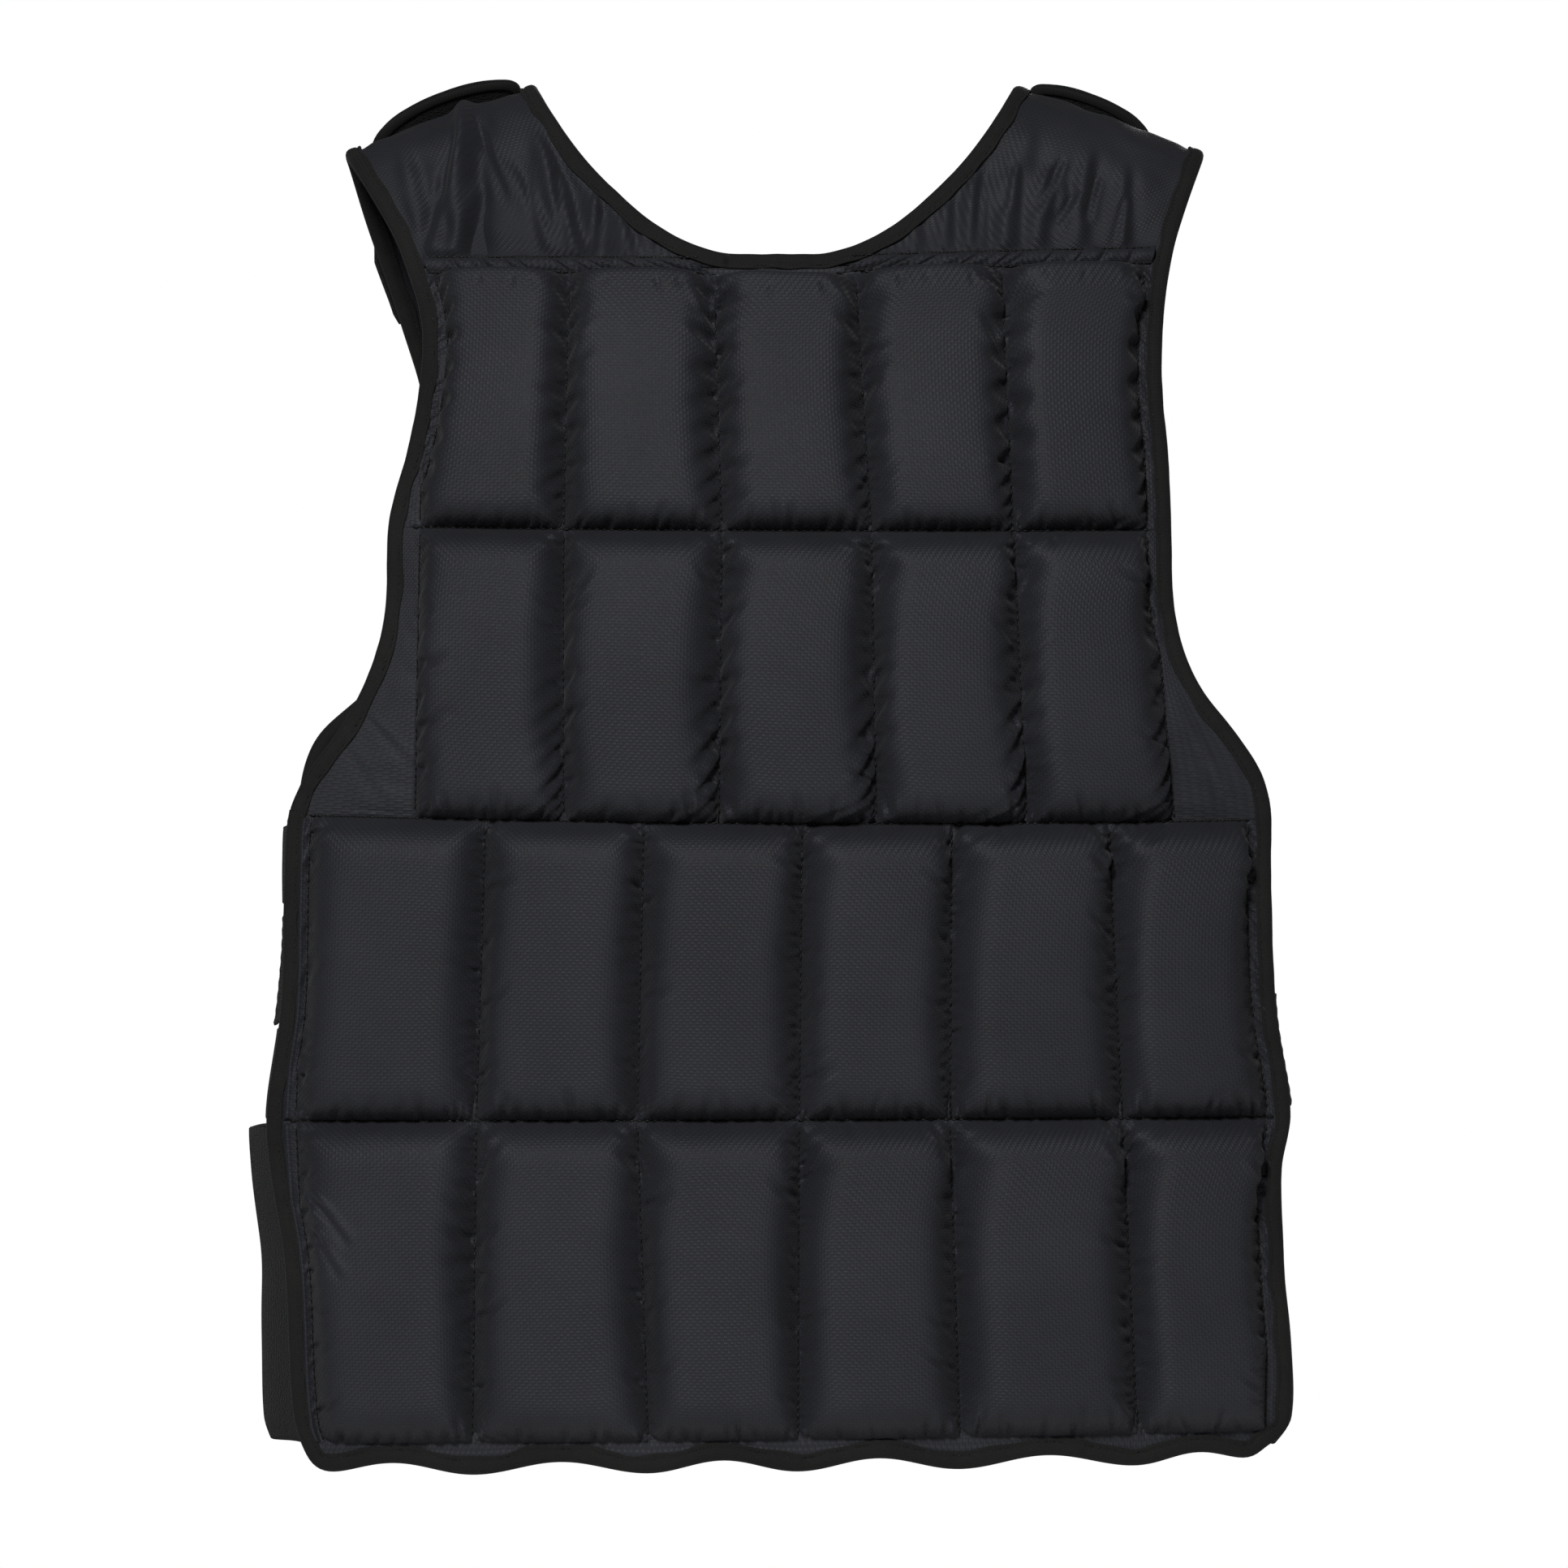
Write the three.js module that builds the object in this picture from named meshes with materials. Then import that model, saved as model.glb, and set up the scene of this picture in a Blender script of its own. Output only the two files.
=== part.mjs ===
// A pull-over weighted training vest, in millimetres, with +Z up.
// The wearer's back faces -Y and the chest faces +Y. The origin is where the vest rests on the shoulders:
// the middle of the shoulder line, on the inner face of the straps.
// Two curved lining panels hang from two padded straps. Each panel carries rows of filled weight pockets,
// bound edges, and is joined to the other at both flanks by tabs and a wide waist flap.
import * as THREE from "three";

// Overall sizes.
const bodyLength = 570; // from the shoulder line down to the hem
const panelWidth = 430; // across the seam below the waist, the widest place
const torsoDepth = 150; // hollow from the back lining to the front lining
const flankWrap = 0.38; // how much of the depth is lost at the panels' side edges
const shoulderRadius = 26; // inside of a strap where it turns over the shoulder
const shoulderRise = 15; // the shoulder line's neck end, above its middle
const shoulderFall = 14; // its arm end, below its middle
const neckWidth = 200; // between the straps, at the shoulder line
const neckDrops = { back: 75, front: 105 }; // from the neck end down to the neckline's lowest point

// Cloth, padding and trim.
const liningThickness = 3; // lining and shell cloth sewn together
const strapPadding = 1.5; // added on each side, in the middle of a strap
const bindingWidth = 7.5; // folded tape, from the edge to the tape's inner side
const bindingWall = 1.2;
const bindingPlay = 0.7; // between the tape and the cloth inside it
const bandHeight = 7.5; // stitched casing over each yoke seam
const bandThickness = 2;
const channelWidth = 3.5; // flat strip between the binding and the outer pockets
const seamGap = 0.3; // kept between pieces that are sewn together
const sewnLift = 0.9; // from the lining to what is sewn onto it: the gap and the facets' own depth
const pocketHeight = 24; // crown of a filled pocket
const pocketEdge = 1.6; // its thickness along a seam
const hemWave = 2.7; // rise of the hem between two pocket seams

// Hook-and-loop pieces.
const tabThickness = 2.5;
const tabReach = 34; // how far a flank tab lies on each panel's inside
const shoulderTabWidth = { left: 62, right: 56 };
const shoulderTabRise = { left: 22, right: 17 }; // free end, beyond the place where it leaves the strap
const shoulderTabCentre = 138; // from the middle of the vest
const shoulderTabLift = 35; // degrees from the top of the shoulder where the free end starts

// The panels' finished side edges. down is a share of bodyLength; left and right are shares of half the
// panelWidth, and front is what the front panel adds to both.
const sideEdges = [
  { down: 0.025, left: 0.845, right: 0.842, front: 0 },
  { down: 0.067, left: 0.8, right: 0.802, front: 0.015 },
  { down: 0.101, left: 0.752, right: 0.774, front: 0.033 },
  { down: 0.15, left: 0.71, right: 0.756, front: 0.03 },
  { down: 0.198, left: 0.704, right: 0.753, front: 0 },
  { down: 0.246, left: 0.72, right: 0.764, front: -0.015 },
  { down: 0.294, left: 0.75, right: 0.769, front: -0.023 },
  { down: 0.365, left: 0.758, right: 0.777, front: -0.023 },
  { down: 0.413, left: 0.796, right: 0.82, front: -0.01 },
  { down: 0.449, left: 0.85, right: 0.894, front: 0.018 },
  { down: 0.479, left: 0.91, right: 0.946, front: 0.02 },
  { down: 0.509, left: 0.946, right: 0.965, front: -0.008 },
  { down: 0.544, left: 0.954, right: 0.964, front: -0.014 },
  { down: 0.652, left: 0.962, right: 0.975, front: -0.014 },
  { down: 0.73, left: 0.991, right: 1.005, front: -0.012 },
  { down: 0.77, left: 0.985, right: 0.986, front: -0.012 },
  { down: 0.837, left: 0.956, right: 0.991, front: -0.012 },
  { down: 0.956, left: 0.937, right: 1.004, front: -0.012 },
  { down: 0.986, left: 0.905, right: 0.945, front: -0.012 },
];

// The neckline. down is a share of the neck drop, half a share of half the neckWidth.
const neckline = [
  { down: 0, half: 1 },
  { down: 0.13, half: 0.946 },
  { down: 0.265, half: 0.878 },
  { down: 0.447, half: 0.771 },
  { down: 0.629, half: 0.636 },
  { down: 0.773, half: 0.51 },
  { down: 0.879, half: 0.375 },
  { down: 0.932, half: 0.268 },
  { down: 0.977, half: 0.128 },
  { down: 1, half: 0 },
];

// Side view of the lining below the shoulder. down is a share of bodyLength; back and front are shares of
// the depth that the panels gain beyond the shoulder's radius.
const sideProfile = [
  { down: 0, back: 0, front: 0 },
  { down: 0.05, back: 0.13, front: 0.16 },
  { down: 0.12, back: 0.42, front: 0.5 },
  { down: 0.2, back: 0.72, front: 0.82 },
  { down: 0.3, back: 0.92, front: 1.02 },
  { down: 0.42, back: 1, front: 1.06 },
  { down: 0.6, back: 0.94, front: 0.98 },
  { down: 0.75, back: 0.86, front: 0.92 },
  { down: 0.9, back: 0.87, front: 0.94 },
  { down: 1.05, back: 0.92, front: 1 },
];

// Seams that run across. Each is a share of bodyLength at the left edge, the middle and the right edge.
const yokeSeams = {
  back: { left: 0.107, right: 0.099 },
  front: { left: 0.15, right: 0.15 },
};
const crossSeams = [
  { left: 0.297, middle: 0.303, right: 0.3 },
  { left: 0.509, middle: 0.516, right: 0.513 },
  { left: 0.735, middle: 0.733, right: 0.732 },
];
const hemLine = { left: 0.992, middle: 0.986, right: 0.982 };

// Seams that run down, row by row: where each one starts and ends, as shares of half the panelWidth.
const quiltRows = [
  {
    starts: [-0.677, -0.399, -0.119, 0.155, 0.438, 0.733],
    ends: [-0.686, -0.408, -0.103, 0.185, 0.459, 0.722],
  },
  {
    starts: [-0.686, -0.408, -0.103, 0.185, 0.459, 0.722],
    ends: [-0.696, -0.408, -0.108, 0.195, 0.486, 0.772],
  },
  {
    starts: [-0.91, -0.559, -0.253, 0.052, 0.34, 0.644, 0.934],
    ends: [-0.93, -0.578, -0.266, 0.046, 0.337, 0.671, 0.965],
  },
  {
    starts: [-0.93, -0.578, -0.266, 0.046, 0.337, 0.671, 0.965],
    ends: [-0.9, -0.585, -0.245, 0.044, 0.356, 0.701, 0.95],
  },
];

// Pieces that join the panels at the flanks: top and bottom as shares of bodyLength, and how far each
// bows out past the back panel's edge at its top and bottom, in millimetres.
const flankPieces = [
  { name: "side_tab_left_upper", side: "left", top: 0.52, bottom: 0.574, bowTop: 4, bowBottom: 3 },
  { name: "side_tab_left_middle", side: "left", top: 0.586, bottom: 0.664, bowTop: 2.5, bowBottom: 5 },
  { name: "side_tab_left_lower", side: "left", top: 0.67, bottom: 0.733, bowTop: 3, bowBottom: 2.5 },
  { name: "waist_flap_left", side: "left", top: 0.743, bottom: 0.973, bowTop: 10, bowBottom: 16 },
  { name: "side_tab_right_upper", side: "right", top: 0.53, bottom: 0.608, bowTop: 2, bowBottom: 2 },
  { name: "side_tab_right_lower", side: "right", top: 0.645, bottom: 0.723, bowTop: 2, bowBottom: 2 },
  { name: "waist_flap_right", side: "right", top: 0.743, bottom: 0.973, bowTop: 2, bowBottom: 2 },
];

// How finely the pieces are divided.
const panelRows = [0, 0.1, 0.2, 0.3, 0.37, 0.42, 0.46, 0.55, 0.66, 0.74, 0.86, 0.95, 1];
const underarmRow = panelRows.indexOf(0.46);
const strapRows = [0, 0.12, 0.23, 0.33, 0.42, 0.52, 0.64, 0.78, 0.9, 0.97, 1];
const strapColumns = [0, 0.11, 0.37, 0.63, 0.89, 1]; // flat under the bindings, up to the second place
const pocketColumns = 4;
const pocketRows = 5;
const rowPocketColumns = 4;
const rowPocketRows = 4;

const materials = {
  shell: new THREE.MeshStandardMaterial({ color: 0x2c2d32, roughness: 0.62, metalness: 0 }),
  lining: new THREE.MeshStandardMaterial({ color: 0x222327, roughness: 0.85, metalness: 0 }),
  binding: new THREE.MeshStandardMaterial({ color: 0x141514, roughness: 0.9, metalness: 0 }),
  fastener: new THREE.MeshStandardMaterial({ color: 0x18191a, roughness: 0.95, metalness: 0 }),
};

const halfWidth = panelWidth / 2;
const neckHalf = neckWidth / 2;
const armHalf = sideEdges[0].left * halfWidth;
const edgeInset = bindingWall + bindingPlay + seamGap;
const middleLift = liningThickness / 2;
const bindingHalf = middleLift + bindingPlay + bindingWall;
const faces = { back: -1, front: 1 };
const sides = { left: -1, right: 1 };
const vest = new THREE.Group();

function mix(a, b, t) {
  return a + (b - a) * t;
}

// Reads one column of a table at a place between its rows, on a smooth curve through them.
function readColumn(table, column, down) {
  const last = table.length - 1;
  if (down <= table[0].down) return table[0][column];
  if (down >= table[last].down) return table[last][column];
  const i = table.findIndex((row) => row.down > down) - 1;
  const slope = (k) => {
    const before = table[Math.max(k - 1, 0)];
    const after = table[Math.min(k + 1, last)];
    return (after[column] - before[column]) / (after.down - before.down);
  };
  const step = table[i + 1].down - table[i].down;
  const t = (down - table[i].down) / step;
  const a = table[i][column];
  const b = table[i + 1][column];
  return (
    a * (2 * t ** 3 - 3 * t ** 2 + 1) +
    b * (3 * t ** 2 - 2 * t ** 3) +
    slope(i) * step * (t ** 3 - 2 * t ** 2 + t) +
    slope(i + 1) * step * (t ** 3 - t ** 2)
  );
}

// Height of the shoulder line's inner face: straight from the neck end down to the arm end.
function shoulderLine(x) {
  const t = THREE.MathUtils.clamp((Math.abs(x) - neckHalf) / (armHalf - neckHalf), 0, 1);
  return mix(shoulderRise, -shoulderFall, t);
}

// Distance of the lining's inner face from the middle plane: a quarter circle over the shoulder, then the
// side profile, less towards the flanks.
function liningDepth(face, x, z) {
  const drop = Math.max(shoulderLine(x) - z, 0);
  const onArch = Math.min(drop, shoulderRadius);
  const arch = Math.sqrt(onArch * (2 * shoulderRadius - onArch));
  const gain = torsoDepth / 2 - shoulderRadius;
  const flare = gain * readColumn(sideProfile, face, drop / bodyLength);
  return (arch + flare) * (1 - flankWrap * (x / halfWidth) ** 2);
}

function liningPoint(face, x, z) {
  return new THREE.Vector3(x, faces[face] * liningDepth(face, x, z), z);
}

// Distance of a panel's edge from the middle of the vest, at a height. inset is measured square to the edge.
function edgeReach(face, side, z, inset = 0) {
  const finished = (at) => {
    const down = -at / bodyLength;
    const added = face === "front" ? readColumn(sideEdges, "front", down) : 0;
    return (readColumn(sideEdges, side, down) + added) * halfWidth;
  };
  const slope = (finished(z + 1) - finished(z - 1)) / 2;
  return finished(z) - inset * Math.hypot(1, slope);
}

// The neckline at a share of its drop, as a distance from the middle and a drop below the shoulder line.
// inset moves it into the cloth, square to it as measured on the lining.
function neckEdge(face, side, share, inset) {
  const drop = neckDrops[face];
  const at = (s) => new THREE.Vector2(
    Math.max(readColumn(neckline, "half", s) * neckHalf, seamGap),
    s * drop,
  );
  if (share > 0.999) return { x: sides[side] * seamGap, drop: drop + inset };
  const here = at(share);
  const depthAt = (d) => liningDepth(face, here.x, shoulderRise - d);
  const stretch = Math.hypot(1, (depthAt(here.y + 0.1) - depthAt(here.y)) / 0.1);
  const along = at(share + 0.01).sub(at(Math.max(share - 0.01, 0)));
  along.y *= stretch;
  along.normalize();
  return { x: sides[side] * (here.x + along.y * inset), drop: here.y - along.x * inset / stretch };
}

// Height of the yoke seam: straight from each armhole to the neckline's lowest point.
function yokeSeam(face, x) {
  const side = x < 0 ? "left" : "right";
  const outer = -yokeSeams[face][side] * bodyLength;
  const reach = edgeReach(face, side, outer);
  const middle = shoulderRise - neckDrops[face] - edgeInset;
  return mix(middle, outer, Math.min(Math.abs(x) / reach, 1));
}

// Height of a line given at the left edge, the middle and the right edge, on a parabola.
function crossLine(line, x) {
  const t = x / halfWidth;
  const share = line.left * t * (t - 1) / 2 + line.middle * (1 - t * t) + line.right * t * (t + 1) / 2;
  return -share * bodyLength;
}

// Height of the hem's finished edge: it dips at each pocket seam.
function hemEdge(x) {
  const ends = quiltRows[quiltRows.length - 1].ends.map((share) => share * halfWidth);
  const i = THREE.MathUtils.clamp(ends.findIndex((end) => end > x) - 1, 0, ends.length - 2);
  const t = THREE.MathUtils.clamp((x - ends[i]) / (ends[i + 1] - ends[i]), 0, 1);
  return crossLine(hemLine, x) - hemWave * Math.cos(2 * Math.PI * t);
}

// Height of the line where pocket row number index starts; the last one is where the pockets end.
function rowLine(face, index, x) {
  if (index === quiltRows.length) return crossLine(hemLine, x) + bindingWidth + hemWave + seamGap;
  if (index > 0) return crossLine(crossSeams[index - 1], x);
  const underBinding = shoulderRise - neckDrops[face] - bindingWidth - 2 * seamGap;
  const underBand = yokeSeam(face, x) - bandHeight / 2;
  const t = THREE.MathUtils.clamp(Math.abs(x) / (neckHalf / 2), 0, 1);
  return mix(underBinding, Math.min(underBand, underBinding + bandHeight), t);
}

// Square to a surface of two parameters. across is the part of u that it is taken over.
function surfaceNormal(surface, u, v, across = 1e-3) {
  const step = 1e-3;
  const acrossTo = surface(Math.min(u + across, 1), v);
  const acrossFrom = surface(Math.max(u - across, 0), v);
  const downTo = surface(u, Math.min(v + step, 1));
  const downFrom = surface(u, Math.max(v - step, 0));
  return acrossTo.sub(acrossFrom).cross(downTo.sub(downFrom)).normalize();
}

// Turns a closed body's faces outwards, by the sign of its volume.
function facingOut(points, triangles) {
  const volume = triangles.reduce((sum, [a, b, c]) => {
    return sum + points[a].dot(points[b].clone().cross(points[c]));
  }, 0);
  const index = triangles.flatMap(([a, b, c]) => (volume < 0 ? [a, c, b] : [a, b, c]));
  const geometry = new THREE.BufferGeometry().setFromPoints(points);
  geometry.setIndex(index);
  geometry.computeVertexNormals();
  return geometry;
}

// A closed sheet: two copies of a surface, lifted off it along its normal, joined by a rim.
// us and vs are the parameters of the grid lines; inner and outer give the lifts at each point.
function closedSheet(surface, us, vs, inner, outer, flip = 1) {
  const points = [];
  for (const lift of [inner, outer]) {
    for (const v of vs) {
      for (const u of us) {
        const normal = surfaceNormal(surface, u, v).multiplyScalar(flip * lift(u, v));
        points.push(surface(u, v).add(normal));
      }
    }
  }
  const columns = us.length;
  const layer = columns * vs.length;
  const at = (i, j, k) => k * layer + j * columns + i;
  const triangles = [];
  const quad = (a, b, c, d) => triangles.push([a, b, c], [a, c, d]);
  for (let j = 0; j < vs.length - 1; j += 1) {
    for (let i = 0; i < columns - 1; i += 1) {
      quad(at(i, j, 0), at(i + 1, j, 0), at(i + 1, j + 1, 0), at(i, j + 1, 0));
      quad(at(i, j, 1), at(i, j + 1, 1), at(i + 1, j + 1, 1), at(i + 1, j, 1));
    }
  }
  for (let i = 0; i < columns - 1; i += 1) {
    const j = vs.length - 1;
    quad(at(i, 0, 0), at(i, 0, 1), at(i + 1, 0, 1), at(i + 1, 0, 0));
    quad(at(i, j, 0), at(i + 1, j, 0), at(i + 1, j, 1), at(i, j, 1));
  }
  for (let j = 0; j < vs.length - 1; j += 1) {
    const i = columns - 1;
    quad(at(0, j, 0), at(0, j + 1, 0), at(0, j + 1, 1), at(0, j, 1));
    quad(at(i, j, 0), at(i, j, 1), at(i, j + 1, 1), at(i, j + 1, 0));
  }
  return facingOut(points, triangles);
}

// Folded tape with a slot for the cloth's edge, carried along a path. Each stop of the path has its point on
// the cloth's middle surface and the cloth's outward normal.
function bindingTape(stops, closed, outwards) {
  const slot = middleLift + bindingPlay;
  const section = [
    [0, -bindingHalf],
    [0, bindingHalf],
    [-bindingWidth, bindingHalf],
    [-bindingWidth, slot],
    [-bindingWall, slot],
    [-bindingWall, -slot],
    [-bindingWidth, -slot],
    [-bindingWidth, -bindingHalf],
  ];
  const count = stops.length;
  const points = stops.flatMap((stop, i) => {
    const after = stops[closed ? (i + 1) % count : Math.min(i + 1, count - 1)];
    const before = stops[closed ? (i + count - 1) % count : Math.max(i - 1, 0)];
    const into = stop.point.clone().sub(before.point).normalize();
    const outOf = after.point.clone().sub(stop.point).normalize();
    const along = into.add(outOf).normalize();
    const mitre = outwards / Math.max(along.dot(outOf), along.dot(into), 0.5);
    const away = along.clone().cross(stop.normal).normalize().multiplyScalar(mitre);
    return section.map(([out, lift]) => stop.point.clone()
      .addScaledVector(away, out)
      .addScaledVector(stop.normal, lift));
  });
  const sides = section.length;
  const triangles = [];
  const spans = closed ? count : count - 1;
  for (let i = 0; i < spans; i += 1) {
    const next = ((i + 1) % count) * sides;
    for (let k = 0; k < sides; k += 1) {
      const turn = (k + 1) % sides;
      triangles.push([i * sides + k, i * sides + turn, next + turn]);
      triangles.push([i * sides + k, next + turn, next + k]);
    }
  }
  if (!closed) {
    const outline = section.map(([out, lift]) => new THREE.Vector2(out, lift));
    const start = (count - 1) * sides;
    for (const [a, b, c] of THREE.ShapeUtils.triangulateShape(outline, [])) {
      triangles.push([a, c, b]);
      triangles.push([start + a, start + b, start + c]);
    }
  }
  return facingOut(points, triangles);
}

function addPiece(name, geometry, material) {
  const mesh = new THREE.Mesh(geometry, material);
  mesh.name = name;
  vest.add(mesh);
}

function evenly(count) {
  return Array.from({ length: count + 1 }, (_, i) => i / count);
}

// Grid lines that crowd towards both ends, where a pocket's skin turns down.
function crowded(count) {
  return evenly(count).map((t) => mix(t, (1 - Math.cos(Math.PI * t)) / 2, 0.75));
}

// A place on a panel: v runs from the yoke seam to the hem, u from the left edge to the right one.
function panelPlace(face, u, v, inset) {
  const heightAt = (x) => mix(yokeSeam(face, x) - 3 * seamGap, hemEdge(x) + inset, v);
  const reachAt = (side) => {
    let x = sides[side] * halfWidth;
    for (let i = 0; i < 4; i += 1) x = sides[side] * edgeReach(face, side, heightAt(x), inset);
    return x;
  };
  const x = mix(reachAt("left"), reachAt("right"), u);
  return { x, z: heightAt(x) };
}

// Grid lines down a panel, at the bottom row's pocket seams and midway between them.
function panelColumns() {
  const ends = quiltRows[quiltRows.length - 1].ends;
  const width = ends[ends.length - 1] - ends[0];
  const shares = ends.map((end) => (end - ends[0]) / width);
  return shares.flatMap((share, i) => (i ? [(shares[i - 1] + share) / 2, share] : [share]));
}

function addPanel(face) {
  const surface = (u, v) => {
    const place = panelPlace(face, u, v, edgeInset);
    return liningPoint(face, place.x, place.z);
  };
  const geometry = closedSheet(
    surface, panelColumns(), panelRows, () => 0, () => liningThickness, faces[face],
  );
  addPiece(`${face}_panel`, geometry, materials.lining);
}

// A strap's two edges at a share of its way from the shoulder line (0) to the yoke seam (1): how far each is
// from the middle, and how far below the shoulder line.
function strapEdges(face, side, share, inset) {
  const fall = share * share;
  const seam = -yokeSeams[face][side] * bodyLength;
  const armX = sides[side] * edgeReach(face, side, mix(shoulderLine(armHalf), seam, fall), inset);
  const neck = neckEdge(face, side, fall, inset);
  if (share === 0) neck.drop = 0;
  return { arm: { x: armX, drop: (shoulderLine(armX) - seam) * fall }, neck };
}

// A strap's surface: v runs from the back yoke seam (0) over the shoulder (0.5) to the front one (1), and u
// from the armhole to the neckline.
function strapPoint(side, u, v, inset) {
  const face = v < 0.5 ? "back" : "front";
  const share = Math.abs(2 * v - 1);
  const { arm, neck } = strapEdges(face, side, share, inset);
  const z = mix(shoulderLine(arm.x) - arm.drop, shoulderLine(neck.x) - neck.drop, u);
  return liningPoint(face, mix(arm.x, neck.x, u), z);
}

function addStrap(side) {
  const surface = (u, v) => strapPoint(side, u, v, edgeInset);
  const back = strapRows.map((share) => (1 - share) / 2).reverse();
  const front = strapRows.slice(1).map((share) => (1 + share) / 2);
  const flat = strapColumns[1];
  const padding = (u, v) => {
    const share = Math.abs(2 * v - 1);
    const across = THREE.MathUtils.clamp((u - flat) / (1 - 2 * flat), 0, 1);
    return strapPadding * Math.sin(Math.PI * across) * Math.max(1 - (share / 0.85) ** 4, 0);
  };
  const geometry = closedSheet(
    surface,
    strapColumns,
    [...back, ...front],
    (u, v) => -padding(u, v),
    (u, v) => liningThickness + padding(u, v),
    -sides[side],
  );
  addPiece(`shoulder_strap_${side}`, geometry, materials.shell);
}

// The stitched casing over a yoke seam, from the armhole binding to the neck binding.
function addBand(face, side) {
  const surface = (u, v) => {
    const seam = (x) => yokeSeam(face, x) + bandHeight * (0.5 - v);
    const armEnd = edgeReach(face, side, seam(sides[side] * armHalf), bindingWidth + 3 * seamGap);
    const outer = sides[side] * armEnd;
    const lipHeight = seam(0) + bindingWidth * 1.4;
    const share = THREE.MathUtils.clamp((shoulderRise - lipHeight) / neckDrops[face], 0, 0.97);
    const inner = sides[side] * readColumn(neckline, "half", share) * neckHalf;
    const x = mix(outer, inner, u);
    return liningPoint(face, x, seam(x));
  };
  const lift = liningThickness + sewnLift;
  const geometry = closedSheet(
    surface, evenly(6), evenly(1), () => lift, () => lift + bandThickness, -faces[face] * sides[side],
  );
  addPiece(`${face}_band_${side}`, geometry, materials.shell);
}

// A pocket's two side seams at a share of its height. The outer pockets stop short of the binding.
function pocketSides(face, row, column, v) {
  const { starts, ends } = quiltRows[row];
  const seamAt = (i) => {
    const x = mix(starts[i], ends[i], v) * halfWidth;
    const z = mix(rowLine(face, row, x), rowLine(face, row + 1, x), v);
    const limit = (side) => edgeReach(face, side, z) - bindingWidth - channelWidth;
    return THREE.MathUtils.clamp(x, -limit("left"), limit("right"));
  };
  return [seamAt(column) + seamGap, seamAt(column + 1) - seamGap];
}

function pocketPoint(face, row, column, u, v) {
  const [left, right] = pocketSides(face, row, column, v);
  const x = mix(left, right, u);
  const top = rowLine(face, row, x) - seamGap;
  const bottom = rowLine(face, row + 1, x) + seamGap;
  return liningPoint(face, x, mix(top, bottom, v));
}

// Crown of a filled pocket: round across, flatter along, thin at its seams.
function pocketCrown(u, v) {
  const across = Math.max(1 - Math.abs(2 * u - 1) ** 2.4, 0) ** 0.62;
  const along = Math.max(1 - Math.abs(2 * v - 1) ** 5, 0) ** 0.6;
  return pocketEdge + (pocketHeight - pocketEdge) * across * along;
}

function addBackPockets() {
  quiltRows.forEach(({ starts }, row) => {
    for (let column = 0; column < starts.length - 1; column += 1) {
      const lift = liningThickness + sewnLift;
      const geometry = closedSheet(
        (u, v) => pocketPoint("back", row, column, u, v),
        crowded(pocketColumns),
        crowded(pocketRows),
        () => lift,
        (u, v) => lift + pocketCrown(u, v),
        faces.back,
      );
      addPiece(`back_pocket_r${row + 1}_c${column + 1}`, geometry, materials.shell);
    }
  });
}

// The front's pockets, a whole row to a piece: u counts the pockets from the left.
function addFrontPockets() {
  quiltRows.forEach(({ starts }, row) => {
    const count = starts.length - 1;
    const split = (u) => {
      const column = Math.min(Math.floor(u * count + 1e-9), count - 1);
      return { column, within: u * count - column };
    };
    const inside = crowded(rowPocketColumns);
    const us = evenly(count).slice(0, -1).flatMap((from) => inside.slice(0, -1).map((t) => from + t / count));
    const lift = liningThickness + sewnLift;
    const geometry = closedSheet(
      (u, v) => {
        const { column, within } = split(u);
        return pocketPoint("front", row, column, within, v);
      },
      [...us, 1],
      crowded(rowPocketRows),
      () => lift,
      (u, v) => lift + pocketCrown(split(u).within, v),
      faces.front,
    );
    addPiece(`front_pocket_row_${row + 1}`, geometry, materials.shell);
  });
}

// One stop of a binding's path, on the middle of the cloth.
function tapeStop(surface, u, v, flip) {
  const normal = surfaceNormal(surface, u, v, 0.07).multiplyScalar(flip);
  return { point: surface(u, v).addScaledVector(normal, middleLift), normal };
}

function panelStop(face, u, v) {
  const surface = (a, b) => {
    const place = panelPlace(face, a, b, 0);
    return liningPoint(face, place.x, place.z);
  };
  return tapeStop(surface, u, v, faces[face]);
}

function strapStop(side, u, v) {
  return tapeStop((a, b) => strapPoint(side, a, b, 0), u, v, -sides[side]);
}

function strapStops(side, u) {
  const inner = strapRows.slice(0, -1);
  const back = inner.map((share) => (1 - share) / 2).reverse();
  const front = inner.slice(1).map((share) => (1 + share) / 2);
  return [...back, ...front].map((v) => strapStop(side, u, v));
}

// Pulls a path's two ends in, so that the next tape starts with a gap.
function trimmed(stops) {
  const pull = (end, towards) => {
    const way = towards.point.clone().sub(end.point).normalize();
    return { point: end.point.clone().addScaledVector(way, bindingWidth / 4), normal: end.normal };
  };
  const last = stops.length - 1;
  return [pull(stops[0], stops[1]), ...stops.slice(1, -1), pull(stops[last], stops[last - 1])];
}

function addArmholeBinding(side) {
  const u = side === "left" ? 0 : 1;
  const rows = panelRows.slice(0, underarmRow + 1);
  const stops = [
    ...rows.map((v) => panelStop("back", u, v)).reverse(),
    ...strapStops(side, 0),
    ...rows.map((v) => panelStop("front", u, v)),
  ];
  addPiece(`armhole_binding_${side}`, bindingTape(trimmed(stops), false, sides[side]), materials.binding);
}

function addEdgeBinding(face) {
  const rows = panelRows.slice(underarmRow);
  const stops = [
    ...rows.map((v) => panelStop(face, 0, v)),
    ...panelColumns().slice(1, -1).map((u) => panelStop(face, u, 1)),
    ...rows.map((v) => panelStop(face, 1, v)).reverse(),
  ];
  addPiece(`${face}_edge_binding`, bindingTape(trimmed(stops), false, -faces[face]), materials.binding);
}

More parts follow.
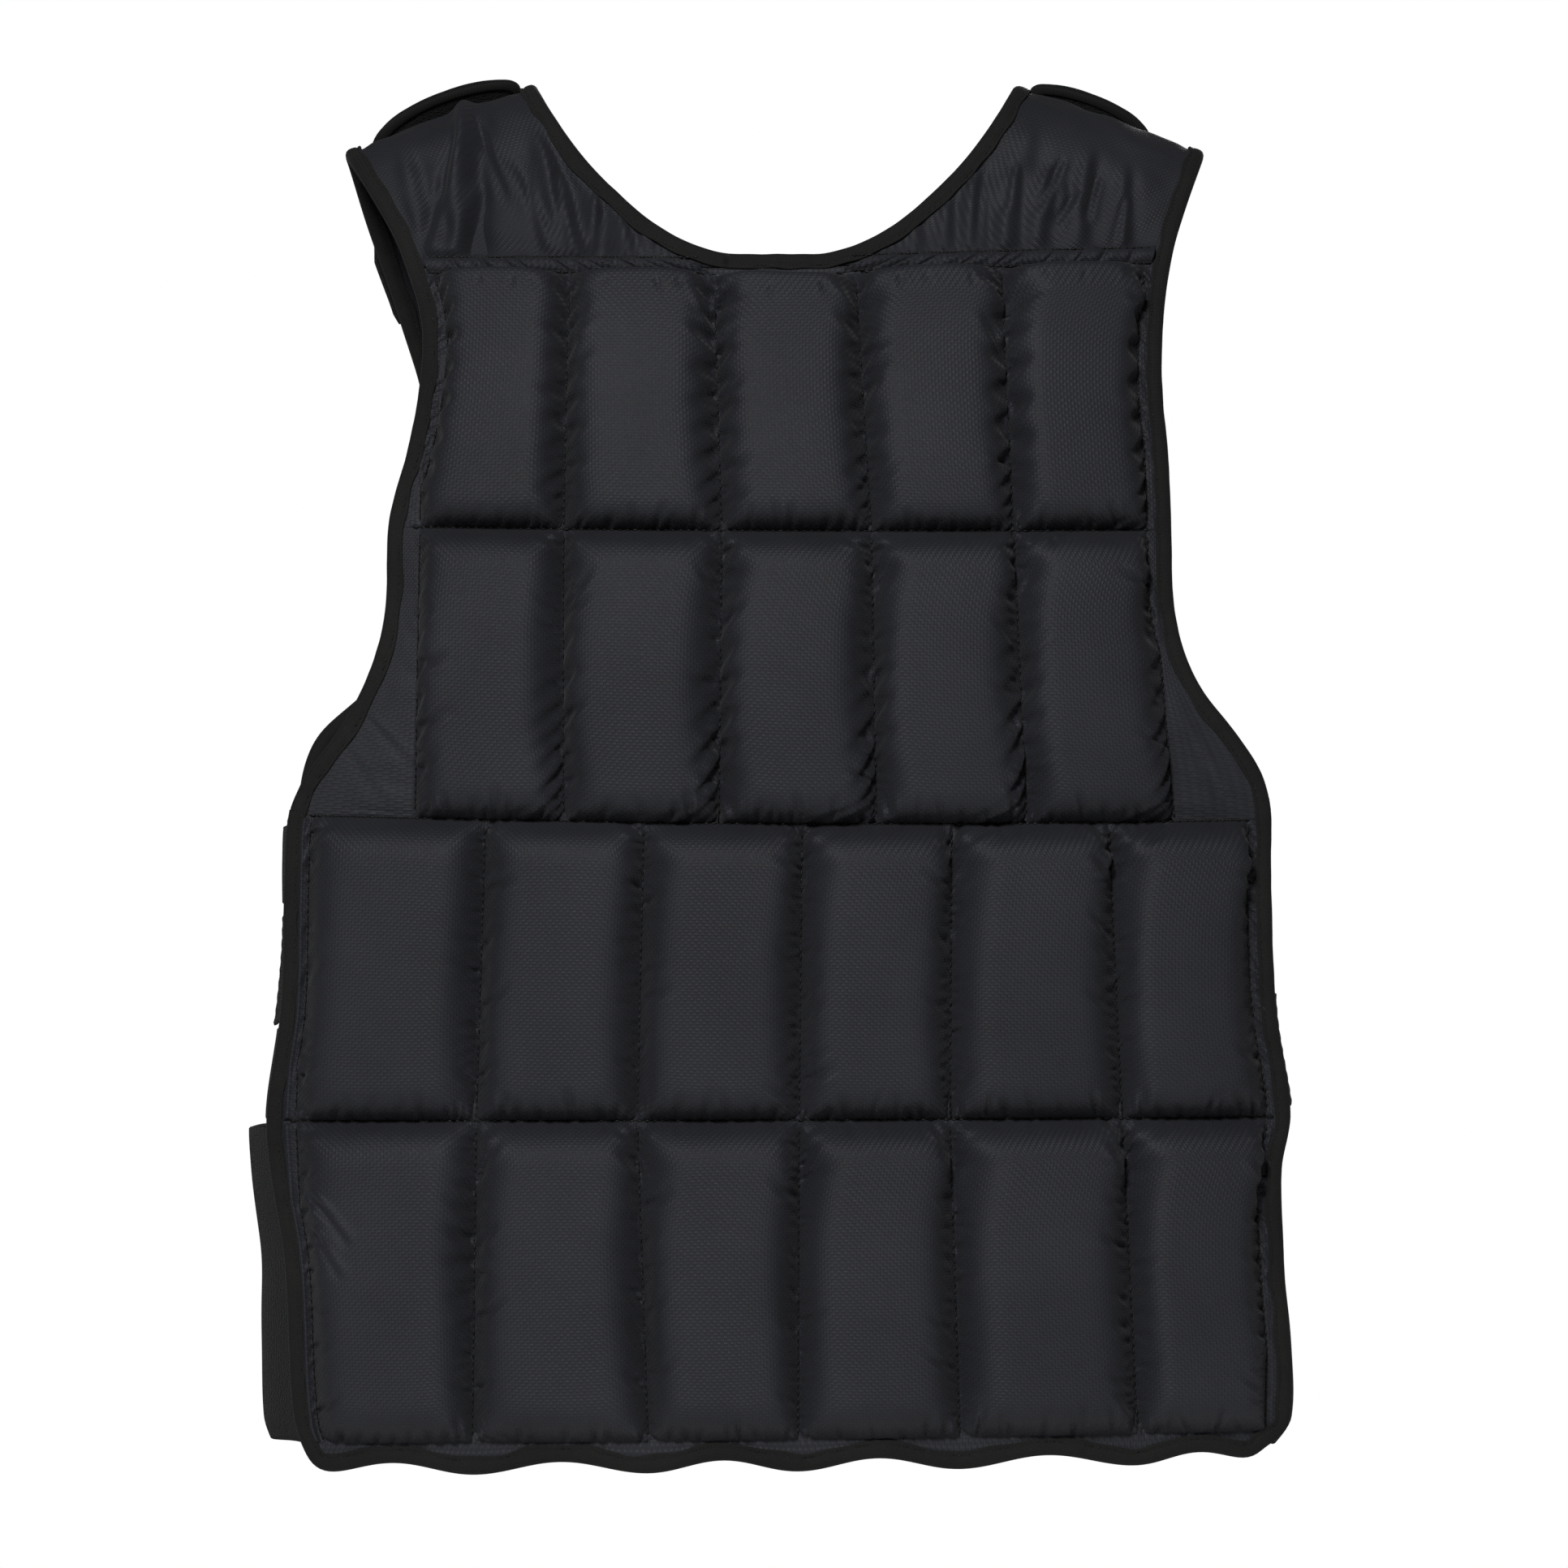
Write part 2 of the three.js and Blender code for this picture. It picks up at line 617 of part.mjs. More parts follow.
function addNeckBinding() {
  const middle = (face) => {
    const lowest = shoulderRise - neckDrops[face];
    const surface = (u, v) => liningPoint(face, mix(-1, 1, u), lowest - bindingWidth * v);
    return tapeStop(surface, 0.5, 0, faces[face]);
  };
  const stops = [
    middle("back"),
    ...strapStops("left", 1),
    middle("front"),
    ...strapStops("right", 1).reverse(),
  ];
  addPiece("neck_binding", bindingTape(stops, true, 1), materials.binding);
}

// A strip of hook-and-loop cloth that lies inside both panels' edges and bows out between them.
function addFlankPiece({ name, side, top, bottom, bowTop, bowBottom }) {
  const sign = sides[side];
  const inside = bindingHalf - middleLift + sewnLift;
  const surface = (u, v) => {
    const z = -mix(top, bottom, v) * bodyLength;
    const reach = { back: edgeReach("back", side, z), front: edgeReach("front", side, z) };
    const on = (face, x) => {
      const y = faces[face] * (liningDepth(face, x, z) - inside);
      return new THREE.Vector3(sign * x, y, z);
    };
    const near = (face) => {
      const start = on(face, reach[face]);
      return new THREE.Vector3(start.x, start.y * 0.84, z);
    };
    const bow = Math.max(reach.back, reach.front) + mix(bowTop, bowBottom, v);
    const route = new THREE.CatmullRomCurve3([
      on("back", reach.back - tabReach),
      on("back", reach.back - tabReach / 2),
      on("back", reach.back - bindingWidth),
      near("back"),
      new THREE.Vector3(sign * bow, 0, z),
      near("front"),
      on("front", reach.front - bindingWidth),
      on("front", reach.front - tabReach / 2),
      on("front", reach.front - tabReach),
    ], false, "centripetal");
    return route.getPoint(u);
  };
  const rows = Math.max(Math.round((bottom - top) * bodyLength / 45), 1);
  const geometry = closedSheet(surface, evenly(14), evenly(rows), () => 0, () => -tabThickness, -sign);
  addPiece(name, geometry, materials.fastener);
}

// The front's shoulder tab: it lies on the strap from the front band upwards, leaves it before the shoulder
// line, and ends in a rounded free end that stands above the shoulder.
function addShoulderTab(side) {
  const sign = sides[side];
  const leaveDrop = shoulderRadius * (1 - Math.cos(THREE.MathUtils.degToRad(shoulderTabLift)));
  const onStrap = (x, drop) => liningPoint("front", x, shoulderLine(x) - drop);
  const heldShare = 0.7;
  const surface = (u, v) => {
    const half = shoulderTabWidth[side] / 2;
    const t = Math.max(1 - v / heldShare, 0);
    const footAt = (x) => yokeSeam("front", x) + bandHeight / 2 + 2 * seamGap;
    const outerZ = mix(shoulderLine(shoulderTabCentre + half) - leaveDrop, footAt(sign * shoulderTabCentre), t * t);
    const outer = Math.min(shoulderTabCentre + half, edgeReach("front", side, outerZ));
    const x = sign * mix(outer, shoulderTabCentre - half, u);
    if (v <= heldShare) return onStrap(x, mix(leaveDrop, shoulderLine(x) - footAt(x), t * t));
    const start = onStrap(x, leaveDrop);
    const way = start.clone().sub(onStrap(x, leaveDrop + 0.5)).normalize();
    const round = Math.sqrt(Math.max(1 - (2 * u - 1) ** 2, 0));
    const free = shoulderTabRise[side] * mix(0.35, 1, round);
    return start.addScaledVector(way, free * (v - heldShare) / (1 - heldShare));
  };
  const lift = middleLift + bindingHalf + sewnLift;
  const vs = [0, 0.2, 0.38, 0.5, 0.6, heldShare, 0.85, 1];
  const geometry = closedSheet(surface, crowded(6), vs, () => lift, () => lift + tabThickness, sign);
  addPiece(`shoulder_tab_${side}`, geometry, materials.fastener);
}

for (const face of ["back", "front"]) {
  addPanel(face);
  addEdgeBinding(face);
  for (const side of ["left", "right"]) addBand(face, side);
}
for (const side of ["left", "right"]) {
  addStrap(side);
  addArmholeBinding(side);
  addShoulderTab(side);
}
addNeckBinding();
addBackPockets();
addFrontPockets();
flankPieces.forEach(addFlankPiece);

export default vest;
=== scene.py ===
"""Weighted training vest, seen from behind: quilted rows of filled pockets, yokes, edge tape, side closures.

All sizes are in metres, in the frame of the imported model: +X to the wearer's right as seen from behind,
-Y out of the back, +Z up, with the origin on the shoulder line.
"""
import logging
import math
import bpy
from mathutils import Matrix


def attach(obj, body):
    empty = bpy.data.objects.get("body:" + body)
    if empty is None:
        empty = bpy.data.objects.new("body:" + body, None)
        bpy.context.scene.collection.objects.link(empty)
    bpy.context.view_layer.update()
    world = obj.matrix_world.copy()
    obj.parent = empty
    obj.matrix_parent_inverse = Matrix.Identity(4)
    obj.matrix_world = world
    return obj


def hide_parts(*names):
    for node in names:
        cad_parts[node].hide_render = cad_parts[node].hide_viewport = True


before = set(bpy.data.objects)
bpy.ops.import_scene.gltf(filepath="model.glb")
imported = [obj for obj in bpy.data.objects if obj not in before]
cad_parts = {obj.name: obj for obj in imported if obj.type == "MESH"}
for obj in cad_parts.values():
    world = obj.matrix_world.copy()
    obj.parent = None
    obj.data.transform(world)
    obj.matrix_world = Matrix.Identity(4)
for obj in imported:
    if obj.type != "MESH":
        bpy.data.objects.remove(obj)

from concurrent.futures import ThreadPoolExecutor
from dataclasses import dataclass, field
from enum import Enum

import bpy
import numpy as np
from mathutils import Vector

log = logging.getLogger("vest")
MM = 0.001
Array = np.ndarray


class Face(Enum):
    """The vest's two faces, with the direction that each looks in."""

    BACK = -1
    FRONT = 1

    @property
    def word(self) -> str:
        """The face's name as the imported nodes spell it."""
        return self.name.lower()


class Side(Enum):
    """The vest's two sides as seen from behind."""

    LEFT = -1
    RIGHT = 1

    @property
    def word(self) -> str:
        """The side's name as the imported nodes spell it."""
        return self.name.lower()


# Small tools


def mix(a: Array | float, b: Array | float, t: Array | float) -> Array | float:
    """Straight blend: a where t is 0, b where t is 1."""
    return a + (b - a) * t


def smooth_read(xs: Array, ys: Array, at: Array) -> Array:
    """Reads a table on a smooth curve: cubic pieces whose slopes are those between each row's neighbours.

    Args:
        xs: places of the rows, rising.
        ys: values of the rows.
        at: places to read.

    Returns:
        The values at those places, held level beyond both ends.
    """
    slopes = np.empty_like(ys)
    slopes[1:-1] = (ys[2:] - ys[:-2]) / (xs[2:] - xs[:-2])
    slopes[0] = (ys[1] - ys[0]) / (xs[1] - xs[0])
    slopes[-1] = (ys[-1] - ys[-2]) / (xs[-1] - xs[-2])
    at = np.clip(at, xs[0], xs[-1])
    i = np.clip(np.searchsorted(xs, at, side="right") - 1, 0, len(xs) - 2)
    step = xs[i + 1] - xs[i]
    t = (at - xs[i]) / step
    return (ys[i] * (2 * t**3 - 3 * t**2 + 1) + ys[i + 1] * (3 * t**2 - 2 * t**3)
            + slopes[i] * step * (t**3 - 2 * t**2 + t) + slopes[i + 1] * step * (t**3 - t**2))


def crowded(count: int, share: float) -> Array:
    """Places from 0 to 1 that crowd towards both ends: even steps blended with a cosine's by share."""
    t = np.arange(count + 1) / count
    return mix(t, (1 - np.cos(np.pi * t)) / 2, share)


def unit(vectors: Array) -> Array:
    """The vectors brought to length one."""
    return vectors / np.maximum(np.linalg.norm(vectors, axis=-1, keepdims=True), 1e-12)


def spans(points: Array, axis: int = 0) -> Array:
    """Distances between neighbouring points along one axis."""
    return np.linalg.norm(np.diff(points, axis=axis), axis=-1)


def added_up(lengths: Array) -> Array:
    """Lengths added up along a line, from 0 on."""
    return np.concatenate([[0], np.cumsum(lengths)])


def read_path(points: Array, s: Array, at: Array) -> Array:
    """A path's points, or other vectors, read at distances along it; s is the distance of each of them."""
    return np.stack([np.interp(at, s, points[:, k]) for k in range(3)], 1)


def grid_normals(points: Array, inside: tuple[float, float, float]) -> Array:
    """Normals of a grid of points: the cross product of its two slopes, turned away from a place inside.

    Args:
        points: the grid, rows by columns by three.
        inside: a place that the normals look away from, by and large.

    Returns:
        Unit normals, one for each point.
    """
    normals = unit(np.cross(np.gradient(points, axis=1), np.gradient(points, axis=0)))
    away = (normals * (points - np.array(inside))).sum()
    return normals if away > 0 else -normals


def soft_noise(shape: tuple[int, int], blurs: int, seed: int) -> Array:
    """Smooth random field of spread one: white noise, each value averaged with its neighbours blurs times.

    Args:
        shape: rows and columns.
        blurs: how many times it is averaged; the lumps are about its square root wide.
        seed: the seed of the noise.

    Returns:
        The field.
    """
    f = np.random.default_rng(seed).normal(size=shape)
    for _ in range(blurs):
        f = (2 * f + np.roll(f, 1, 0) + np.roll(f, -1, 0) + np.roll(f, 1, 1) + np.roll(f, -1, 1)) / 6
    return (f - f.mean()) / f.std()


def wander(length: float, wave: float, count: int, seed: int) -> Array:
    """A smooth random line of spread one along a path: a few sines of random phase about one wavelength.

    Args:
        length: the path's length.
        wave: the middle wavelength.
        count: how many places are read.
        seed: the seed of the phases.

    Returns:
        One value for each place.
    """
    rng = np.random.default_rng(seed)
    s = np.linspace(0, length, count)
    sines, total = 9, 2.1  # so many sines of height one add up to a line with this spread
    waves = wave * rng.uniform(0.6, 1.9, sines)
    phases = rng.uniform(0, 2 * np.pi, sines)
    return np.sin(2 * np.pi * s[:, None] / waves + phases).sum(1) / total


def finer(grid: Array) -> Array:
    """Adds a place midway between all neighbours, from the four nearest by 9, 9, -1 and -1 sixteenths.

    Args:
        grid: rows by columns by any number of values.

    Returns:
        The grid with 2n - 1 rows and columns for n.
    """
    for axis in (0, 1):
        a = np.moveaxis(grid, axis, 0)
        padded = np.concatenate([2 * a[:1] - a[1:2], a, 2 * a[-1:] - a[-2:-1]])
        between = (9 * (padded[1:-2] + padded[2:-1]) - padded[:-3] - padded[3:]) / 16
        both = np.empty((2 * len(a) - 1,) + a.shape[1:])
        both[::2], both[1::2] = a, between
        grid = np.moveaxis(both, 0, axis)
    return grid


# Meshes


def make_piece(name: str, points: Array, polygons: list, uv: Array,
               finish: bpy.types.Material) -> bpy.types.Object:
    """Puts worked-out points into a mesh object, with its normals outwards and its cut as a UV map.

    Args:
        name: the object's name.
        points: the points, n by three.
        polygons: each face's corners.
        uv: where each point lies on the flat-cut cloth, in metres.
        finish: its material.

    Returns:
        The new object, at the origin.
    """
    mesh = bpy.data.meshes.new(name)
    mesh.from_pydata(points.tolist(), [], polygons)
    corner = np.empty(len(mesh.loops), np.int32)
    mesh.loops.foreach_get("vertex_index", corner)
    layer = mesh.uv_layers.new(name="flat_cut")
    layer.data.foreach_set("uv", np.ascontiguousarray(uv[corner]).ravel())
    mesh.calc_loop_triangles()
    tris = np.empty(len(mesh.loop_triangles) * 3, np.int32)
    mesh.loop_triangles.foreach_get("vertices", tris)
    a, b, c = (points[tris[k::3]] for k in range(3))
    if (np.cross(a, b) * c).sum() < 0:  # the volume comes out negative where the faces look inwards
        mesh.flip_normals()
    mesh.polygons.foreach_set("use_smooth", np.ones(len(mesh.polygons), bool))
    mesh.materials.append(finish)
    mesh.update()
    piece = bpy.data.objects.new(name, mesh)
    bpy.context.scene.collection.objects.link(piece)
    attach(piece, "root")
    return piece


def grid_quads(rows: int, columns: int, start: int = 0) -> Array:
    """Corners of the quads of a grid whose points are numbered row by row from start."""
    k = start + np.arange(rows - 1)[:, None] * columns + np.arange(columns - 1)[None, :]
    return np.stack([k, k + 1, k + columns + 1, k + columns], -1).reshape(-1, 4)


def flat_cut(points: Array) -> Array:
    """Where a grid's points lie on the flat cloth: the mean lengths of its columns and rows, added up.

    Args:
        points: the grid, rows by columns by three.

    Returns:
        Rows by columns by two, in metres.
    """
    u, v = added_up(spans(points, 1).mean(0)), added_up(spans(points).mean(1))
    return np.stack(np.broadcast_arrays(u[None, :], v[:, None]), -1)


def closed_sheet(name: str, inner: Array, outer: Array, finish: bpy.types.Material,
                 rim: int = 0) -> bpy.types.Object:
    """A sheet with a wall: two grids of points joined by a band of quads round their edges.

    Args:
        name: the object's name.
        inner: the grid of one side.
        outer: the grid of the other side, of the same size.
        finish: its material.
        rim: 1 rounds the rim with one more row of points, half a wall further out.

    Returns:
        The new object.
    """
    rows, columns = inner.shape[:2]
    size = rows * columns
    numbers = np.arange(size).reshape(rows, columns)
    ring = np.concatenate([numbers[0, :-1], numbers[:-1, -1], numbers[-1, :0:-1], numbers[:0:-1, 0]])
    after = np.roll(ring, -1)
    points = [inner.reshape(-1, 3), outer.reshape(-1, 3)]
    uv = flat_cut(outer).reshape(-1, 2)
    uvs = [uv, uv]
    quads = [grid_quads(rows, columns)[:, ::-1], grid_quads(rows, columns, size)]
    if rim:
        low, high = points[0][ring], points[1][ring]
        inward = np.zeros_like(inner)
        inward[0], inward[-1] = inner[1] - inner[0], inner[-2] - inner[-1]
        inward[:, 0] += inner[:, 1] - inner[:, 0]
        inward[:, -1] += inner[:, -2] - inner[:, -1]
        wall = np.linalg.norm(high - low, axis=1, keepdims=True)
        points.append((low + high) / 2 - unit(inward.reshape(-1, 3)[ring]) * wall * 0.5)
        uvs.append(uv[ring])
        middle = 2 * size + np.arange(len(ring))
        quads.append(np.stack([ring, after, np.roll(middle, -1), middle], -1))
        quads.append(np.stack([middle, np.roll(middle, -1), after + size, ring + size], -1))
    else:
        quads.append(np.stack([ring, after, after + size, ring + size], -1))
    polygons = np.concatenate(quads).tolist()
    return make_piece(name, np.concatenate(points), polygons, np.concatenate(uvs), finish)


def swept(name: str, path: Array, across: Array, up: Array, profile: Array, finish: bpy.types.Material,
          closed: bool) -> bpy.types.Object:
    """Carries a profile along a path: each place is the path plus two directions times the profile's parts.

    Args:
        name: the object's name.
        path: the path's points, n by three.
        across: the direction of the profile's first part at each point.
        up: the direction of its second part.
        profile: n by m by two, a closed outline at each point of the path.
        finish: its material.
        closed: whether the path's end joins its start.

    Returns:
        The new object.
    """
    rows, columns = profile.shape[:2]
    points = path[:, None] + across[:, None] * profile[..., :1] + up[:, None] * profile[..., 1:]
    along = added_up(spans(path))
    around = added_up(spans(profile[0]))
    uv = np.stack(np.broadcast_arrays(along[:, None], around[None, :]), -1)
    k = np.arange(rows if closed else rows - 1)[:, None] * columns + np.arange(columns)[None, :]
    side = np.roll(k, -1, axis=1)
    quads = np.stack([k, side, (side + columns) % (rows * columns), (k + columns) % (rows * columns)], -1)
    polygons = quads.reshape(-1, 4).tolist()
    if not closed:
        polygons.append(list(range(columns))[::-1])
        polygons.append(list(range((rows - 1) * columns, rows * columns)))
    return make_piece(name, points.reshape(-1, 3), polygons, uv.reshape(-1, 2), finish)


# Finishes


def srgb(code: str) -> tuple[float, float, float, float]:
    """An sRGB hex colour as linear red, green, blue and a full alpha."""
    parts = [int(code[k:k + 2], 16) / 255 for k in (1, 3, 5)]
    return (*(c / 12.92 if c < 0.04045 else ((c + 0.055) / 1.055) ** 2.4 for c in parts), 1.0)


def add(tree: bpy.types.NodeTree, kind: str, settings: dict | None = None,
        links: dict | None = None) -> bpy.types.ShaderNode:
    """Adds one node to a tree.

    Args:
        tree: the material's node tree.
        kind: the node's type name, without its ShaderNode beginning.
        settings: attributes by name, and values of input sockets by number or socket name.
        links: input socket, by number or name, to the output socket that feeds it.

    Returns:
        The node.
    """
    node = tree.nodes.new("ShaderNode" + kind)
    for key, value in (settings or {}).items():
        if isinstance(key, int) or key in node.inputs:
            node.inputs[key].default_value = value
        else:
            setattr(node, key, value)
    for key, socket in (links or {}).items():
        tree.links.new(socket, node.inputs[key])
    return node


def spread(tree: bpy.types.NodeTree, value: bpy.types.NodeSocket, start: tuple[float, float],
           end: tuple[float, float]) -> bpy.types.NodeSocket:
    """A value moved from the range start to the range end."""
    ranges = {1: start[0], 2: start[1], 3: end[0], 4: end[1]}
    return add(tree, "MapRange", ranges, {0: value}).outputs[0]


def tinted(tree: bpy.types.NodeTree, share: bpy.types.NodeSocket, low: str,
           high: str) -> bpy.types.NodeSocket:
    """A blend of two sRGB hex colours: low where share is 0, high where it is 1."""
    colors = {"data_type": "RGBA", 6: srgb(low), 7: srgb(high)}
    return add(tree, "Mix", colors, {0: share}).outputs[2]


@dataclass(frozen=True)
class WovenCloth:
    """A black woven cloth: crossing threads in relief, patches that are a little lighter, fine lint."""

    name: str
    color: str
    light: str
    thread: float  # width of one crossing of the weave
    relief: float  # depth of the weave
    roughness: float
    sheen: float
    specular: float = 0.35
    slant: float = 0.0  # turn of the weave on the cut, in degrees

    def material(self) -> bpy.types.Material:
        """Builds the material.

        Returns:
            Principled cloth. The weave is one wave across and one along the cut, shown in turn on the squares
            of a checker, so that the threads pass over and under each other.
        """
        made = bpy.data.materials.new(self.name)
        made.use_nodes = True
        tree = made.node_tree
        tree.nodes.clear()
        cut = add(tree, "TexCoord").outputs["UV"]
        scale = 1 / self.thread
        turn = (0, 0, math.radians(self.slant))
        squared = add(tree, "Mapping", {"Scale": (scale, scale, scale), "Rotation": turn},
                      {"Vector": cut}).outputs["Vector"]
        threads = {"Scale": 0.05 * math.pi * 2, "Distortion": 0.4, "Detail": 1.0}  # a wave to each crossing
        warp, weft = (add(tree, "TexWave", {"bands_direction": way} | threads,
                          {"Vector": squared}).outputs["Fac"] for way in "XY")
        over = add(tree, "TexChecker", {"Scale": 1.0}, {"Vector": squared}).outputs["Fac"]
        weave = add(tree, "Mix", {"data_type": "FLOAT"}, {0: over, 2: warp, 3: weft}).outputs[0]
        place = add(tree, "TexCoord").outputs["Object"]
        patches = add(tree, "TexNoise", {"Scale": 22.0, "Detail": 3.0, "Roughness": 0.55},
                      {"Vector": place}).outputs["Fac"]
        lint = add(tree, "TexNoise", {"Scale": 900.0, "Detail": 2.0}, {"Vector": place}).outputs["Fac"]
        worn = spread(tree, patches, (0.35, 0.7), (0.0, 0.55))
        lit = add(tree, "Math", {"operation": "MULTIPLY_ADD", 1: 0.45}, {0: weave, 2: worn}).outputs[0]
        tone = tinted(tree, lit, self.color, self.light)
        rough = spread(tree, lint, (0.3, 0.7), (self.roughness - 0.05, self.roughness + 0.06))
        grain = add(tree, "Bump", {"Strength": 0.25, "Distance": self.relief}, {"Height": lint}).outputs[0]
        relief = add(tree, "Bump", {"Strength": 0.8, "Distance": self.relief},
                     {"Height": weave, "Normal": grain})
        skin = add(tree, "BsdfPrincipled", {
            "Specular IOR Level": self.specular, "Sheen Weight": self.sheen, "Sheen Roughness": 0.45,
        }, {"Base Color": tone, "Roughness": rough, "Normal": relief.outputs[0]})
        add(tree, "OutputMaterial", {}, {"Surface": skin.outputs[0]})
        return made


@dataclass(frozen=True)
class NappedCloth:
    """Hook-and-loop cloth: a dense nap of small loops or hooks that takes the light like felt, with painted
    highlights on them and painted shade between them.
    """

    name: str
    color: str
    light: str
    nap: float  # distance between loops
    relief: float
    sheen: float

    def material(self) -> bpy.types.Material:
        """Builds the material.

        Returns:
            Matt cloth: one cell for each loop stands up from the cloth, over a softer cloud of nap. Each cell
                is painted lighter at its middle as a highlight and darker at its rim as shade in the gaps.
        """
        made = bpy.data.materials.new(self.name)
        made.use_nodes = True
        tree = made.node_tree
        tree.nodes.clear()
        place = add(tree, "TexCoord").outputs["Object"]
        cells = add(tree, "TexVoronoi", {"Scale": 1 / self.nap, "Randomness": 0.7}, {"Vector": place})
        cloud = add(tree, "TexNoise", {"Scale": 60.0, "Detail": 5.0, "Roughness": 0.7}, {"Vector": place})
        # painted highlight: lighter at each loop's middle; painted shade: darker in the gaps at its rim
        lit_tips_shaded_gaps = spread(tree, cells.outputs["Distance"], (0.1, 0.7), (0.0, 0.8))
        tone = tinted(tree, lit_tips_shaded_gaps, self.light, self.color)
        base = add(tree, "Bump", {"Strength": 0.5, "Distance": self.relief},
                   {"Height": cloud.outputs["Fac"]}).outputs[0]
        relief = add(tree, "Bump", {"Strength": 0.9, "Distance": self.relief, "invert": True},
                     {"Height": cells.outputs["Distance"], "Normal": base})
        skin = add(tree, "BsdfPrincipled", {
            "Roughness": 0.95, "Specular IOR Level": 0.15, "Sheen Weight": self.sheen, "Sheen Roughness": 0.6,
        }, {"Base Color": tone, "Normal": relief.outputs[0]})
        add(tree, "OutputMaterial", {}, {"Surface": skin.outputs[0]})
        return made


@dataclass
class Finishes:
    """Every material of the vest, made once."""

    shell: bpy.types.Material = field(init=False)
    lining: bpy.types.Material = field(init=False)
    tape: bpy.types.Material = field(init=False)
    loop: bpy.types.Material = field(init=False)
    hook: bpy.types.Material = field(init=False)
    thread: bpy.types.Material = field(init=False)

    def __post_init__(self) -> None:
        """Makes the materials. Threads finer than a millimetre are drawn coarser, so that they show."""
        # Oxford nylon, woven from paired threads and coated inside: blue-black, faintly glossy on the bends.
        # Its real crossing is 0.6 mm wide and is drawn 1.3 mm.
        self.shell = WovenCloth("woven_oxford_nylon", "#25262b", "#303137", thread=1.3 * MM, relief=0.16 * MM,
                                roughness=0.62, sheen=0.05, specular=0.3).material()
        # Plain-woven polyester lining, duller and closer in its weave; a crossing of 0.4 mm drawn 1.1 mm.
        self.lining = WovenCloth("plain_woven_polyester_lining", "#1f2023", "#292a2d", thread=1.1 * MM,
                                 relief=0.08 * MM, roughness=0.8, sheen=0.05).material()
        # Folded polyester edge tape, woven on the slant and brushed matt; a crossing of 0.5 mm drawn 1 mm.
        self.tape = WovenCloth("folded_polyester_edge_tape", "#1b1b1b", "#262625", thread=1.0 * MM,
                               relief=0.12 * MM, roughness=0.85, sheen=0.06, specular=0.2,
                               slant=45.0).material()
        # Knitted loop cloth, brushed up so that hooks catch in it: soft, dead matt, with each loop painted
        # lighter as a highlight and the gaps painted darker as shade.
        self.loop = NappedCloth("brushed_knitted_loop_cloth", "#141515", "#1f2020", nap=1.2 * MM,
                                relief=0.5 * MM, sheen=0.06).material()
        # Woven hook tape: rows of cut nylon hooks, each painted lighter as a glint, with painted shade in the
        # gaps between them.
        self.hook = NappedCloth("woven_nylon_hook_tape", "#0d0e0e", "#242526", nap=1.6 * MM,
                                relief=0.7 * MM, sheen=0.05).material()
        # Bonded polyester sewing thread, twisted: a little glossier than the cloth. Its near-black tone is
        # partly the thread's own colour and partly painted shade, standing for the shade in the seam grooves.
        self.thread = WovenCloth("bonded_polyester_thread", "#0b0b0c", "#151516", thread=0.5 * MM,
                                 relief=0.05 * MM, roughness=0.5, sheen=0.05).material()


# The vest's form


